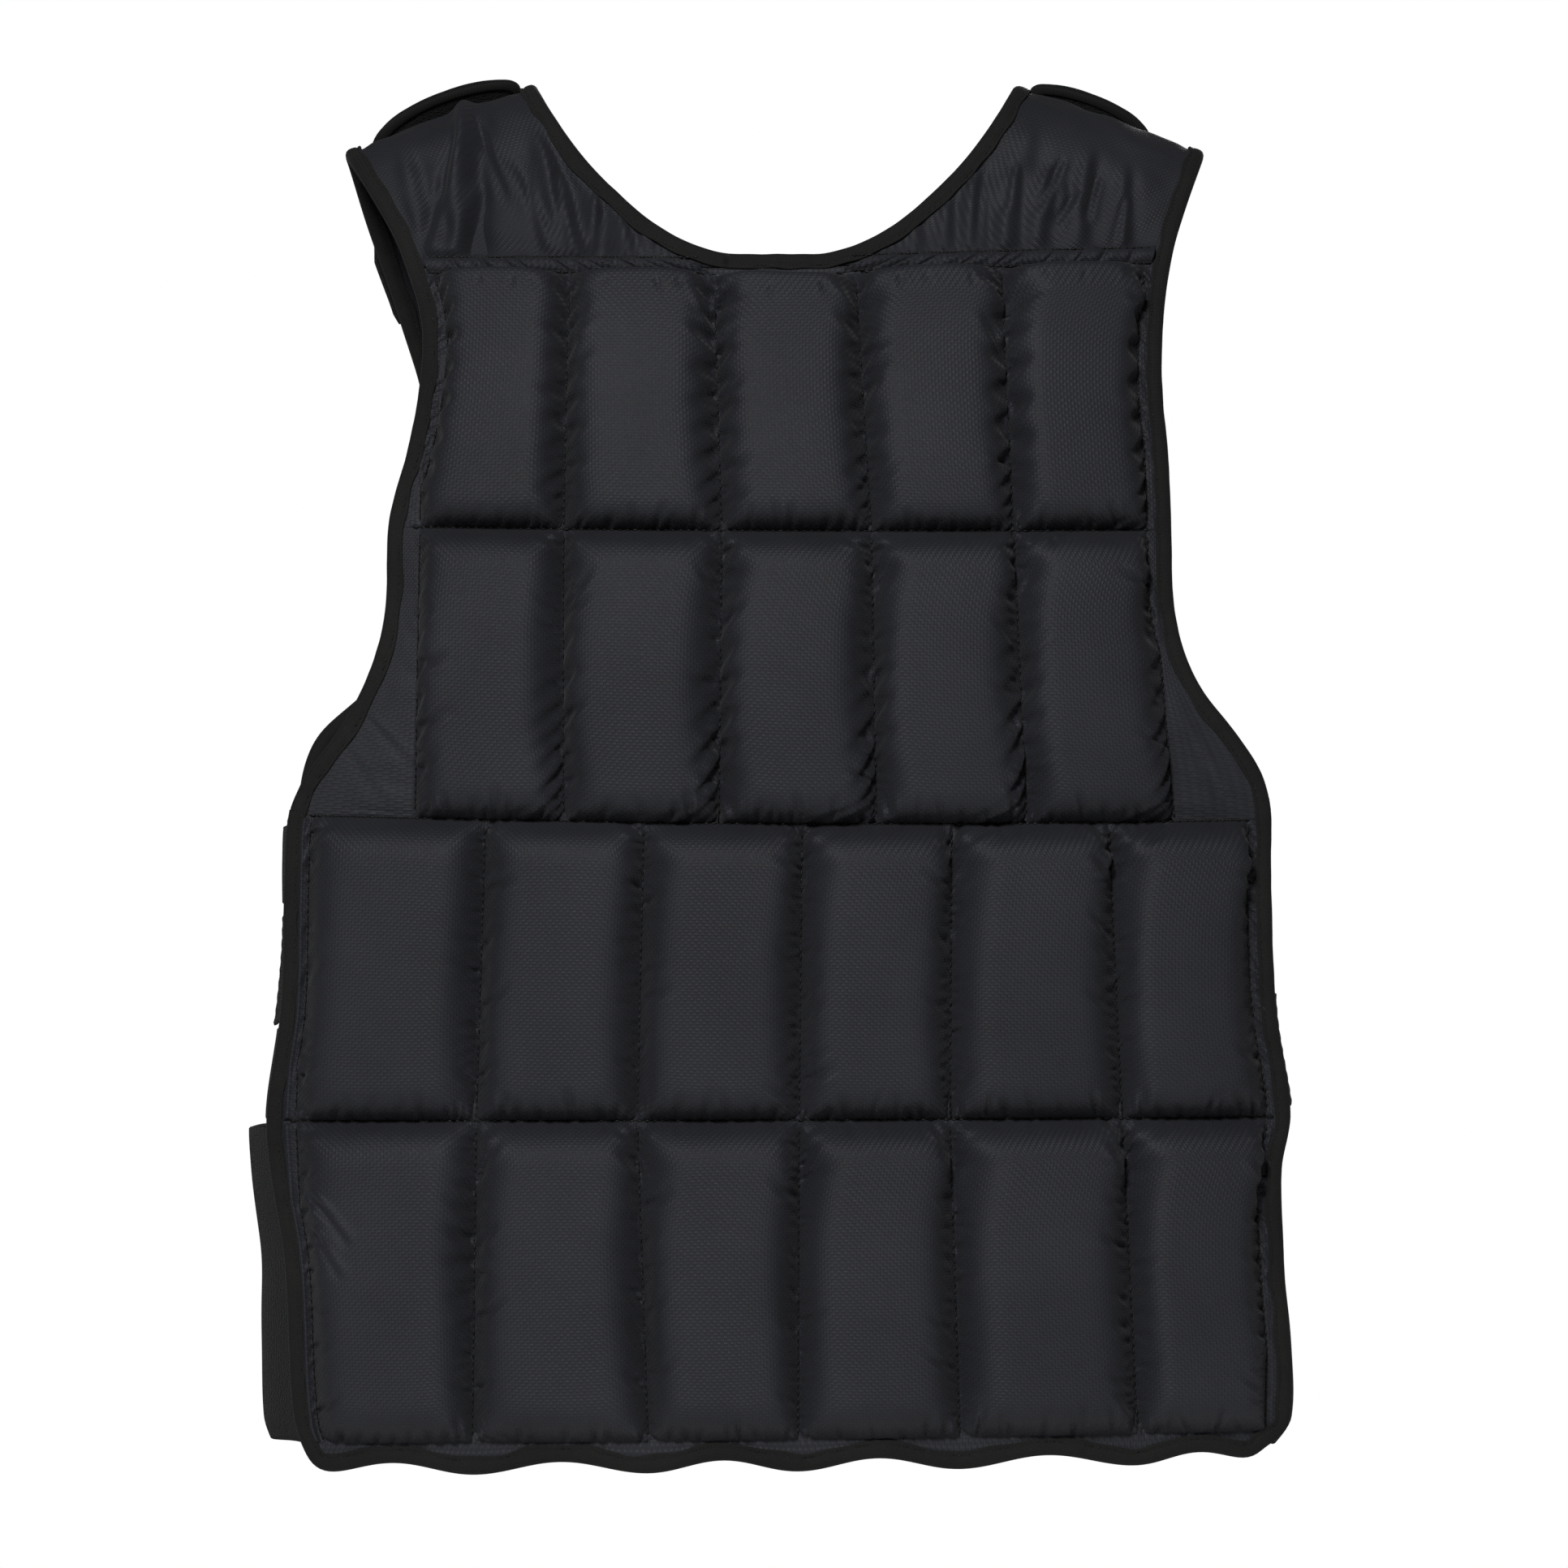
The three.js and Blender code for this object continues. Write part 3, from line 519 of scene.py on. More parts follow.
@dataclass(frozen=True)
class VestForm:
    """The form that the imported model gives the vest: the lining's surface, its edges and its seams."""

    body: float = 570 * MM  # from the shoulder line down to the hem
    width: float = 430 * MM
    hollow: float = 150 * MM  # from the back lining to the front lining
    wrap: float = 0.38  # how much of the depth is lost at the side edges
    arch: float = 26 * MM  # inside radius over the shoulder
    rise: float = 15 * MM
    fall: float = 14 * MM
    neck_width: float = 200 * MM
    lining: float = 3 * MM
    tape: float = 7.5 * MM
    tape_wall: float = 1.2 * MM
    tape_play: float = 0.7 * MM
    gap: float = 0.3 * MM
    band: float = 7.5 * MM
    channel: float = 3.5 * MM
    hem_wave: float = 2.7 * MM
    sewn_lift: float = 0.9 * MM

    # Side edges: share of the body length, left and right share of half the width, added on the front's
    # left and right.
    EDGES = np.array([
        (0.025, 0.845, 0.842, 0, 0), (0.067, 0.778, 0.802, 0.037, -0.004),
        (0.101, 0.728, 0.774, 0.057, -0.008), (0.15, 0.688, 0.756, 0.052, -0.012),
        (0.198, 0.692, 0.753, 0.012, -0.014), (0.246, 0.716, 0.764, -0.011, -0.018),
        (0.294, 0.75, 0.769, -0.023, -0.023), (0.365, 0.758, 0.777, -0.023, -0.023),
        (0.413, 0.796, 0.82, 0.012, -0.01), (0.449, 0.85, 0.894, 0.06, 0.01),
        (0.479, 0.91, 0.946, 0.034, 0.012), (0.509, 0.946, 0.965, 0.004, -0.008),
        (0.544, 0.954, 0.964, -0.014, -0.014), (0.652, 0.962, 0.975, -0.014, -0.014),
        (0.73, 0.991, 1.005, -0.012, -0.012), (0.77, 0.985, 0.986, -0.012, -0.012),
        (0.837, 0.956, 0.991, -0.012, -0.012), (0.956, 0.937, 1.004, -0.012, -0.012),
        (0.986, 0.905, 0.945, -0.012, -0.012)])
    # Neckline: share of its drop, share of half the opening.
    NECKLINE = np.array([(0, 1), (0.13, 0.946), (0.265, 0.878), (0.447, 0.771), (0.629, 0.636), (0.773, 0.51),
                         (0.879, 0.375), (0.932, 0.268), (0.977, 0.128), (1, 0)])
    # Side profile: share of the body length, share of the full depth at the back and at the front.
    PROFILE = np.array([(0, 0, 0), (0.05, 0.13, 0.16), (0.12, 0.42, 0.5), (0.2, 0.72, 0.82),
                        (0.3, 0.92, 1.02), (0.42, 1, 1.06), (0.6, 0.94, 0.98), (0.75, 0.86, 0.92),
                        (0.9, 0.87, 0.94), (1.05, 0.92, 1)])
    DROPS = {Face.BACK: 75 * MM, Face.FRONT: 105 * MM}
    YOKES = {Face.BACK: {Side.LEFT: 0.107, Side.RIGHT: 0.099},
             Face.FRONT: {Side.LEFT: 0.15, Side.RIGHT: 0.15}}
    CROSSES = ((0.297, 0.303, 0.3), (0.509, 0.516, 0.513), (0.735, 0.733, 0.732))
    HEM = (0.992, 0.986, 0.982)
    # The pocket seams of each row: where they start and end, as shares of half the width.
    ROWS = (
        ((-0.677, -0.399, -0.119, 0.155, 0.438, 0.733), (-0.686, -0.408, -0.103, 0.185, 0.459, 0.722)),
        ((-0.686, -0.408, -0.103, 0.185, 0.459, 0.722), (-0.696, -0.408, -0.108, 0.195, 0.486, 0.772)),
        ((-0.91, -0.559, -0.253, 0.052, 0.34, 0.644, 0.934),
         (-0.93, -0.578, -0.266, 0.046, 0.337, 0.671, 0.965)),
        ((-0.93, -0.578, -0.266, 0.046, 0.337, 0.671, 0.965),
         (-0.9, -0.585, -0.245, 0.044, 0.356, 0.701, 0.95)),
    )

    @property
    def half(self) -> float:
        """Half the vest's width."""
        return self.width / 2

    @property
    def neck_half(self) -> float:
        """Half the neck opening."""
        return self.neck_width / 2

    @property
    def inset(self) -> float:
        """From a finished edge to the cut edge of the cloth inside its tape."""
        return self.tape_wall + self.tape_play + self.gap

    @property
    def tape_half(self) -> float:
        """Half the thickness of the folded tape."""
        return self.lining / 2 + self.tape_play + self.tape_wall

    def shoulder(self, x: Array) -> Array:
        """Height of the shoulder line: straight from the neck end down to the arm end.

        Args:
            x: places across.

        Returns:
            Their heights.
        """
        arm = self.EDGES[0, 1] * self.half
        t = np.clip((np.abs(x) - self.neck_half) / (arm - self.neck_half), 0, 1)
        return mix(self.rise, -self.fall, t)

    def depth(self, face: Face, x: Array, z: Array) -> Array:
        """Distance of the lining from the middle: a quarter circle, then the profile, less at the flanks.

        Args:
            face: back or front.
            x: places across.
            z: heights.

        Returns:
            The distances along Y.
        """
        drop = np.maximum(self.shoulder(x) - z, 0)
        on = np.minimum(drop, self.arch)
        arch = np.sqrt(on * (2 * self.arch - on))
        column = self.PROFILE[:, 1 if face is Face.BACK else 2]
        flare = (self.hollow / 2 - self.arch) * smooth_read(self.PROFILE[:, 0], column, drop / self.body)
        return (arch + flare) * (1 - self.wrap * (x / self.half) ** 2)

    def point(self, face: Face, x: Array, z: Array) -> Array:
        """Points of the lining's inner face at places x and z."""
        x, z = np.broadcast_arrays(x, z)
        return np.stack([x, face.value * self.depth(face, x, z), z], -1)

    def normal(self, face: Face, x: Array, z: Array) -> Array:
        """Outward normals of the lining, from small steps each way.

        Args:
            face: back or front.
            x: places across.
            z: heights.

        Returns:
            Unit normals.
        """
        step = 0.4 * MM
        across = self.point(face, x + step, z) - self.point(face, x - step, z)
        along = self.point(face, x, z + step) - self.point(face, x, z - step)
        n = unit(np.cross(across, along))
        return n * np.sign(n[..., 1:2]) * face.value

    def lifted(self, face: Face, x: Array, z: Array, lift: Array) -> Array:
        """Points at a height over the lining's inner face."""
        return self.point(face, x, z) + self.normal(face, x, z) * lift[..., None]

    def reach(self, face: Face, side: Side, z: Array, inset: float = 0.0) -> Array:
        """Distance of a side edge from the middle.

        Args:
            face: back or front.
            side: left or right edge.
            z: heights.
            inset: distance into the cloth, square to the edge.

        Returns:
            The distances.
        """
        def finished(at: Array) -> Array:
            """The finished edge at heights, from its table, with the front's additions.

            Args:
                at: the heights.

            Returns:
                The distances.
            """
            column = 1 if side is Side.LEFT else 2
            r = smooth_read(self.EDGES[:, 0], self.EDGES[:, column], -at / self.body)
            if face is Face.FRONT:
                r = r + smooth_read(self.EDGES[:, 0], self.EDGES[:, column + 2], -at / self.body)
            return r * self.half
        slope = (finished(z + MM) - finished(z - MM)) / (2 * MM)
        return finished(z) - inset * np.hypot(1, slope)

    def neck_edge(self, face: Face, side: Side, share: Array, inset: float) -> tuple[Array, Array]:
        """The neckline at shares of its drop, moved into the cloth by inset.

        Args:
            face: back or front.
            side: left or right half of the neckline.
            share: shares of the neck drop, from the shoulder down.
            inset: distance into the cloth, square to the neckline.

        Returns:
            Places across and drops below the shoulder line.
        """
        drop = self.DROPS[face]

        def across(s: Array) -> Array:
            """Half the opening at a share of the drop."""
            half = smooth_read(self.NECKLINE[:, 0], self.NECKLINE[:, 1], s) * self.neck_half
            return np.maximum(half, self.gap)
        x, down = across(share), share * drop
        step = 0.1 * MM
        stretch = np.hypot(1, (self.depth(face, x, self.rise - down - step)
                               - self.depth(face, x, self.rise - down)) / step)
        e = 0.01  # step of the share for the neckline's direction
        dx = across(share + e) - across(np.maximum(share - e, 0))
        dy = (np.minimum(share + e, 1 + e) - np.maximum(share - e, 0)) * drop * stretch
        size = np.hypot(dx, dy)
        dx, dy = dx / size, dy / size
        end = share > 0.999
        place = np.where(end, self.gap, x + dy * inset)
        fallen = np.where(end, drop + inset, down - dx * inset / stretch)
        return side.value * place, fallen

    def yoke_seam(self, face: Face, x: Array) -> Array:
        """Height of the yoke seam: straight from each armhole to the neckline's lowest point.

        Args:
            face: back or front.
            x: places across.

        Returns:
            The heights.
        """
        def outer(side: Side) -> tuple[float, Array]:
            """The seam's height and reach at one armhole."""
            z = -self.YOKES[face][side] * self.body
            return z, self.reach(face, side, np.array(z))
        (left_z, left), (right_z, right) = outer(Side.LEFT), outer(Side.RIGHT)
        z = np.where(x < 0, left_z, right_z)
        r = np.where(x < 0, left, right)
        middle = self.rise - self.DROPS[face] - self.inset
        return mix(middle, z, np.minimum(np.abs(x) / r, 1))

    def cross_line(self, line: tuple[float, float, float], x: Array) -> Array:
        """Height of a line given at the left edge, the middle and the right edge, on a parabola."""
        t = x / self.half
        return -(line[0] * t * (t - 1) / 2 + line[1] * (1 - t * t) + line[2] * t * (t + 1) / 2) * self.body

    def hem(self, x: Array) -> Array:
        """Height of the hem: a cosine that dips at each pocket seam, lifted at both corners to round them.

        Args:
            x: places across.

        Returns:
            The heights.
        """
        ends = np.array(self.ROWS[3][1]) * self.half
        i = np.clip(np.searchsorted(ends, x, side="right") - 1, 0, len(ends) - 2)
        t = np.clip((x - ends[i]) / (ends[i + 1] - ends[i]), 0, 1)
        past = np.abs(x) - np.where(x < 0, 0.905, 0.95) * self.half
        corner = np.minimum(5 * MM * np.exp(past / (4 * MM)), 9 * MM)
        return self.cross_line(self.HEM, x) - self.hem_wave * np.cos(2 * np.pi * t) + corner

    def row_line(self, face: Face, index: int, x: Array) -> Array:
        """Height of the line where a row of pockets starts.

        Args:
            face: back or front.
            index: the row, from 0 at the top; 4 is the line where the last row ends.
            x: places across.

        Returns:
            The heights.
        """
        if index == 4:
            return self.cross_line(self.HEM, x) + self.tape + self.hem_wave + self.gap
        if index > 0:
            return self.cross_line(self.CROSSES[index - 1], x)
        under = self.rise - self.DROPS[face] - self.tape - 2 * self.gap
        band = self.yoke_seam(face, x) - self.band / 2
        t = np.clip(np.abs(x) / (self.neck_half / 2), 0, 1)
        return mix(under, np.minimum(band, under + self.band), t)

    def panel_grid(self, face: Face, across: Array, down: Array, inset: float) -> Array:
        """Points of a panel's lining.

        Args:
            face: back or front.
            across: places from the left edge, 0, to the right edge, 1.
            down: places from the yoke seam, 0, to the hem, 1.
            inset: distance from the finished edges.

        Returns:
            Down by across by three.
        """
        u, v = across[None, :], down[:, None]

        def height(x: Array) -> Array:
            """Height of each row at a place across."""
            return mix(self.yoke_seam(face, x) - 3 * self.gap, self.hem(x) + inset, v)
        edges = []
        for side in Side:
            x = np.full_like(v, side.value * self.half)
            for _ in range(4):  # the height depends on the place and the place on the height
                x = side.value * self.reach(face, side, height(x), inset)
            edges.append(x)
        x = mix(edges[0], edges[1], u)
        return self.point(face, x, height(x))

    def strap_grid(self, side: Side, across: Array, along: Array, inset: float) -> Array:
        """Points of a strap's lining.

        Args:
            side: which strap.
            across: places from the armhole, 0, to the neckline, 1.
            along: places from the back seam, 0, over the shoulder, 0.5, to the front seam, 1.
            inset: distance from the finished edges.

        Returns:
            Along by across by three. Down each face the share falls with its square.
        """
        u, share = across[None, :], np.abs(2 * along - 1)[:, None]
        fall = share**2
        grids = []
        for face in Face:
            seam = -self.YOKES[face][side] * self.body
            arm = self.EDGES[0, 1] * self.half
            arm_x = side.value * self.reach(face, side, mix(self.shoulder(arm), seam, fall), inset)
            arm_z = self.shoulder(arm_x) - (self.shoulder(arm_x) - seam) * fall
            neck_x, drop = self.neck_edge(face, side, fall, inset)
            neck_z = self.shoulder(neck_x) - np.where(share == 0, 0, drop)
            grids.append(self.point(face, mix(arm_x, neck_x, u), mix(arm_z, neck_z, u)))
        return np.where((along < 0.5)[:, None, None], grids[0], grids[1])


# Soft parts


@dataclass(frozen=True)
class Crease:
    """One fold of the cloth: a valley along a line with a ridge beside it."""

    start: tuple[float, float]  # x and z, in millimetres
    end: tuple[float, float]
    width: float
    height: float

    def field(self, x: Array, z: Array) -> Array:
        """Height that the fold adds: a bell-shaped ridge and a valley to its right, deepest along the middle.

        Args:
            x: places across.
            z: heights.

        Returns:
            Heights in metres.
        """
        a, b = np.array(self.start) * MM, np.array(self.end) * MM
        way = (b - a) / np.hypot(*(b - a))
        length = np.hypot(*(b - a))
        along = ((x - a[0]) * way[0] + (z - a[1]) * way[1]) / length
        off = ((x - a[0]) * -way[1] + (z - a[1]) * way[0]) / (self.width * MM)
        off = off * (1.6 - 0.6 * np.clip(along, 0, 1))
        taper = np.clip((along + 0.12) / 0.35, 0, 1) * np.clip((1.25 - along) / 0.3, 0, 1)
        taper = taper**2 * (3 - 2 * taper)
        ridge = np.exp(-(off**2)) - 0.75 * np.exp(-((off - 1.5) ** 2))
        return self.height * MM * ridge * taper


@dataclass(frozen=True)
class Pucker:
    """One short sharp pucker that runs up a pocket's slope from its seam and opens out."""

    foot: tuple[float, float]  # x and z on the seam, in metres
    way: tuple[float, float]
    length: float
    width: float
    depth: float

    def add_to(self, relief: Array, x: Array, z: Array) -> None:
        """Adds the pucker: a valley with a sharp bottom and a low ridge on both sides, nothing at both ends.

        Args:
            relief: the cloth's heights over its soft form, added to in place.
            x: places across.
            z: the places' own heights.
        """
        near = (np.abs(x - self.foot[0]) < self.length * 1.3) & (np.abs(z - self.foot[1]) < self.length * 1.3)
        px, pz = x[near] - self.foot[0], z[near] - self.foot[1]
        along = (px * self.way[0] + pz * self.way[1]) / self.length
        off = (pz * self.way[0] - px * self.way[1]) / (self.width * (0.6 + 0.8 * np.clip(along, 0, 1)))
        taper = np.clip(along / 0.22, 0, 1) * np.clip((1 - along) / 0.6, 0, 1) ** 1.3
        valley = -np.exp(-(np.abs(off) ** 1.25)) + 0.42 * np.exp(-((np.abs(off) - 1.7) ** 2) / 0.7)
        relief[near] += self.depth * valley * taper


@dataclass(frozen=True)
class PuckerKind:
    """A kind of seeded pucker, by the ranges it is drawn from: degrees for the turn, else millimetres."""

    turn: tuple[float, float]  # from the X axis
    length: tuple[float, float]
    width: tuple[float, float]
    depth: tuple[float, float]
    step: tuple[float, float]  # to the next pucker along the seam

    def drawn(self, rng: np.random.Generator, foot: tuple[float, float], flip: tuple[int, int]) -> Pucker:
        """Draws one pucker.

        Args:
            rng: the source of its random numbers.
            foot: x and z on the seam, in metres.
            flip: 1, or -1 for a mirrored direction, along X and along Z.

        Returns:
            The pucker.
        """
        turn = math.radians(rng.uniform(*self.turn))
        way = (flip[0] * math.cos(turn), flip[1] * math.sin(turn))
        sizes = (rng.uniform(*part) * MM for part in (self.length, self.width, self.depth))
        return Pucker(foot, way, *sizes)


@dataclass
class PocketCloth:
    """The relaxation that gives a row of pockets its puckers.

    The shell cloth is cut larger than the lining by a share of what the bags' crown needs. It starts on the
    crown, sewn down at its seams. Each step pulls neighbours towards their distance on the cut, keeps
    places two and four cells apart from closing up, which is the cloth's stiffness, and pushes the cloth
    out to the bag except near the seams, where the spare length gathers into puckers.
    """

    steps: int = 420
    press: float = 0.06
    wider: float = 0.3  # share of the crown's extra width that the cloth is given
    longer: float = 0.9  # share of its extra length
    soft: float = 17 * MM
    shear: float = 0.35  # weight of the diagonals beside the threads' own
    stiffness: float = 0.13
    noise: float = 0.9 * MM
    uneven: float = 0.014
    floor: float = 0.3 * MM
    boost: float = 1.6  # how far a place follows its neighbours' mean pull
    kept_speed: float = 0.85

    def rests(self, wide: Array, tall: Array, ease: Array) -> list:
        """Works out each kind of thread between neighbours once.

        Args:
            wide: distances on the cut between columns, rows by columns less one.
            tall: distances between rows.
            ease: how much more or less cloth there is at each place.

        Returns:
            For each offset: the two slices, the rest length, the weight and whether it only pushes.
        """
        rows, columns = ease.shape
        u = np.concatenate([np.zeros((rows, 1)), np.cumsum(wide, 1)], 1)
        v = np.concatenate([np.zeros((1, columns)), np.cumsum(tall, 0)], 0)
        kinds = []
        two, four = self.stiffness, self.stiffness * 0.6
        for down, right, weight, stiff in ((0, 1, 1.0, False), (1, 0, 1.0, False), (1, 1, self.shear, False),
                                           (1, -1, self.shear, False), (0, 2, two, True), (2, 0, two, True),
                                           (0, 4, four, True), (4, 0, four, True)):
            first = (slice(0, rows - down), slice(max(-right, 0), columns - max(right, 0)))
            second = (slice(down, rows), slice(max(right, 0), columns + min(right, 0)))
            rest = np.hypot(u[second] - u[first] if right else 0, v[second] - v[first] if down else 0)
            kinds.append((first, second, np.abs(rest) * ease[first], weight, stiff))
        return kinds

    def relaxed(self, base: Array, out: Array, crown: Array, pinned: Array, hold: Array, kinds: list,
                seed: int) -> Array:
        """Relaxes the cloth.

        Args:
            base: the grid of places on the lining.
            out: their normals.
            crown: how far the bag holds each place out.
            pinned: which places are sewn down.
            hold: how firmly the bag holds each place out.
            kinds: what rests() gives.
            seed: the seed of the first small unevenness.

        Returns:
            The relaxed grid.
        """
        free = (~pinned)[..., None].astype(float)
        p = base + out * crown[..., None]
        p = p + out * (soft_noise(crown.shape, 2, seed) * self.noise)[..., None] * free
        speed = np.zeros_like(p)
        count = np.zeros(crown.shape + (1,))
        for first, second, _, weight, _ in kinds:
            count[first] += weight
            count[second] += weight
        gain = self.boost * free / count
        for _ in range(self.steps):
            pull = np.zeros_like(p)
            for first, second, rest, weight, stiff in kinds:
                way = p[second] - p[first]
                length = np.sqrt((way * way).sum(-1))
                miss = (length - rest) / np.maximum(length, 1e-9)
                if stiff:
                    miss = np.minimum(miss, 0)
                way *= (miss * (weight * 0.5))[..., None]
                pull[first] += way
                pull[second] -= way
            height = ((p - base) * out).sum(-1)
            push = out * ((crown - height) * hold)[..., None] * free
            speed = speed * self.kept_speed + pull * gain + push
            p = p + speed
            height = ((p - base) * out).sum(-1)
            p += out * np.maximum(self.floor - height, 0)[..., None] * free
        for _ in range(2):  # takes out ripples of one cell, which no cloth has
            near = (np.roll(p, 1, 0) + np.roll(p, -1, 0) + np.roll(p, 1, 1) + np.roll(p, -1, 1)) / 4
            p += (near - p) * 0.3 * free
        return p


@dataclass
class QuiltedFace:
    """The rows of filled pockets on one face, each row one cloth from binding to binding."""

    form: VestForm
    finishes: Finishes
    face: Face
    cloth: PocketCloth = field(default_factory=PocketCloth)
    crown: float = 18.5 * MM
    slope: float = 18 * MM  # how far in from a side seam the cloth has risen to the bag's flat face
    top_slope: float = 22 * MM
    foot_slope: float = 20 * MM
    sewn: float = 0.5 * MM  # thickness of the cloth along a seam
    lift: float = 3.15 * MM  # of its underside over the lining's inner face
    bag_size: tuple[float, float] = (62 * MM, 124 * MM)
    held_size: tuple[float, float] = (62 * MM, 122 * MM)  # the part of a pocket that its bag pushes on
    cells: int = 40  # columns of a pocket
    rows: int = 84
    strip: int = 8  # columns of the flat strip on each side
    tuck: int = 3  # rows that run on under the casings and to the hem
    # More cloth where the photo shows deep gathers: x and z in millimetres, radius, share of spare cloth.
    GATHERS = ((-25, -78, 22, 0.10), (-137, -88, 26, 0.08), (-26, -100, 18, 0.05), (98, -100, 26, 0.05),
               (-135, -480, 26, 0.05), (150, -90, 20, 0.04))
    # Seeded puckers: two kinds along the side seams, one above a row's lower seam, one below its upper one.
    SMALL = PuckerKind((-5, 55), (4, 9), (0.9, 1.4), (0.5, 1.5), (3, 8))
    LARGE = PuckerKind((25, 68), (9, 19), (1.3, 2.2), (1.4, 3.0), (9, 30))
    STANDING = PuckerKind((66, 114), (6, 16), (1.1, 2.1), (1.6, 3.6), (4, 14))
    HANGING = PuckerKind((66, 114), (4, 9), (1.1, 2.1), (0.5, 1.2), (8, 22))

    def cut(self, row: int) -> dict[str, Array]:
        """Lays out one row's cloth.

        Args:
            row: the row, from 0 at the top.

        Returns:
            Places x and z, the share across each pocket u and down v, which columns are sewn or flat, and
            the pocket of each column. Columns follow the seams, and rows crowd towards them.
        """
        f = self.form
        starts, ends = (np.array(part) * f.half for part in f.ROWS[row])
        pockets = len(starts) - 1
        v = crowded(self.rows, 0.55)
        above = self.tuck if row == 0 else 0
        below = self.tuck if row == 3 else 0
        inside = v[:, None]

        def seam(k: int) -> Array:
            """A seam's places across, kept inside the channel beside the edge tape.

            Args:
                k: the seam, from 0 at the left.

            Returns:
                One place for each row of the cloth.
            """
            x = mix(starts[k], ends[k], inside)
            z = mix(f.row_line(self.face, row, x), f.row_line(self.face, row + 1, x), inside)
            left, right = (f.reach(self.face, side, z) - f.tape - f.channel for side in Side)
            return np.clip(x, -left, right)

        def edge(side: Side, x: Array) -> Array:
            """The cloth's edge, inside the fold of the tape."""
            z = mix(f.row_line(self.face, row, x), f.row_line(self.face, row + 1, x), inside)
            return side.value * (f.reach(self.face, side, z) - 4 * MM)
        seams = [seam(k) for k in range(pockets + 1)]
        bounds = [edge(Side.LEFT, seams[0]), *seams, edge(Side.RIGHT, seams[-1])]
        parts, shares, owner = [], [], []
        for k in range(len(bounds) - 1):
            flat = k in (0, len(bounds) - 2)
            t = crowded(self.strip if flat else self.cells, 0.0 if flat else 0.7)
            t = t if k == len(bounds) - 2 else t[:-1]
            parts.append(mix(bounds[k], bounds[k + 1], t[None, :]))
            shares.append(t)
            owner.append(np.full(len(t), -1 if flat else k - 1))
        x = np.concatenate(parts, 1)
        z = mix(f.row_line(self.face, row, x), f.row_line(self.face, row + 1, x), inside)
        u, owner = np.concatenate(shares), np.concatenate(owner)
        t = np.arange(1, self.tuck + 1)[:, None] / self.tuck
        if above:
            top = mix(z[:1], f.yoke_seam(self.face, x[:1]) - MM, t[::-1])
            x, z = np.concatenate([np.repeat(x[:1], self.tuck, 0), x]), np.concatenate([top, z])
        if below:
            low = mix(z[-1:], f.hem(x[-1:]) + f.inset + 0.4 * MM, t)
            x, z = np.concatenate([x, np.repeat(x[-1:], self.tuck, 0)]), np.concatenate([z, low])
        v = np.concatenate([np.zeros(above), v, np.ones(below)])
        sewn = np.zeros(x.shape, bool)
        sewn[:above + 1], sewn[len(v) - below - 1:] = True, True
        seam_columns = [self.strip + self.cells * k for k in range(pockets + 1)]
        sewn[:, seam_columns] = True
        sewn[:, owner < 0] = True
        return {"x": x, "z": z, "u": u, "v": v, "owner": owner, "sewn": sewn,
                "seams": np.array(seam_columns), "body": np.array([above, len(v) - below])}

    # The photo's large puckers: x, z, lean from the X axis in degrees, length, width, depth.
    MARKS = (((-25, -88, 108, 25, 2.0, 2.2), (-25, -84, 66, 22, 1.8, 1.8), (-25, -74, 128, 18, 1.6, 1.8),
              (-25, -100, 58, 18, 1.6, 1.6), (-144, -96, 32, 15, 2.0, 2.2), (-144, -88, 50, 15, 1.8, 1.6),
              (-86, -90, 62, 20, 1.6, 1.6), (34, -92, 122, 17, 1.7, 1.6), (94, -94, 118, 18, 1.7, 1.7)),
             ((-87, -205, 58, 24, 1.7, 2.0), (-24, -200, 120, 20, 1.7, 1.6), (-24, -192, 60, 19, 1.6, 1.6),
              (40, -205, 65, 24, 1.8, 2.0), (102, -200, 62, 20, 1.7, 1.6)),
             ((-121, -300, 62, 18, 1.6, 1.4), (11, -300, 118, 18, 1.6, 1.5), (72, -305, 60, 18, 1.6, 1.5)),
             ((-196, -449, -48, 18, 1.8, 1.5), (-196, -463, -44, 15, 1.6, 1.3),
              (-123, -440, 60, 20, 1.7, 1.7), (-54, -445, 118, 20, 1.7, 1.6), (10, -440, 62, 20, 1.6, 1.6),
              (146, -438, 120, 17, 1.6, 1.6), (146, -436, 55, 17, 1.6, 1.6)))
    MARK_DEPTH = 1.4  # their depths are drawn so many times deeper, to show as they do in the photo
    # The photo's longer folds: on the flanks below the armholes and from the lower left edge.
    CREASES = ((),
               (Crease((-171, -249), (-154, -268), 1.8, -0.5), Crease((-179, -262), (-166, -283), 2.0, -0.45),
                Crease((172, -255), (186, -282), 2.0, -0.5), Crease((168, -272), (190, -284), 1.8, -0.4)),
               (),
               (Crease((-193, -450), (-180, -468), 2.0, -1.1), Crease((-194, -464), (-183, -482), 2.0, -1.0)))

    def bag(self, u: Array, v: Array, top_slope: float) -> Array:
        """A filled bag's crown as a share: a nearly flat face that falls to each seam on a parabola.

        Args:
            u: places across the pocket, 0 to 1.
            v: places down it.
            top_slope: length of the slope at the pocket's top.

        Returns:
            The share. The sand settles, so the slope is long at the top and short at the foot.
        """
        wide, tall = self.bag_size

        def fall(distance: Array, slope: float) -> Array:
            """0 at a seam, 1 from the end of its slope on."""
            return 1 - (1 - np.clip(distance / slope, 0, 1)) ** 2.1
        side = fall(np.minimum(u, 1 - u) * wide, self.slope)
        ends = fall(v * tall, top_slope) * fall((1 - v) * tall, self.foot_slope)
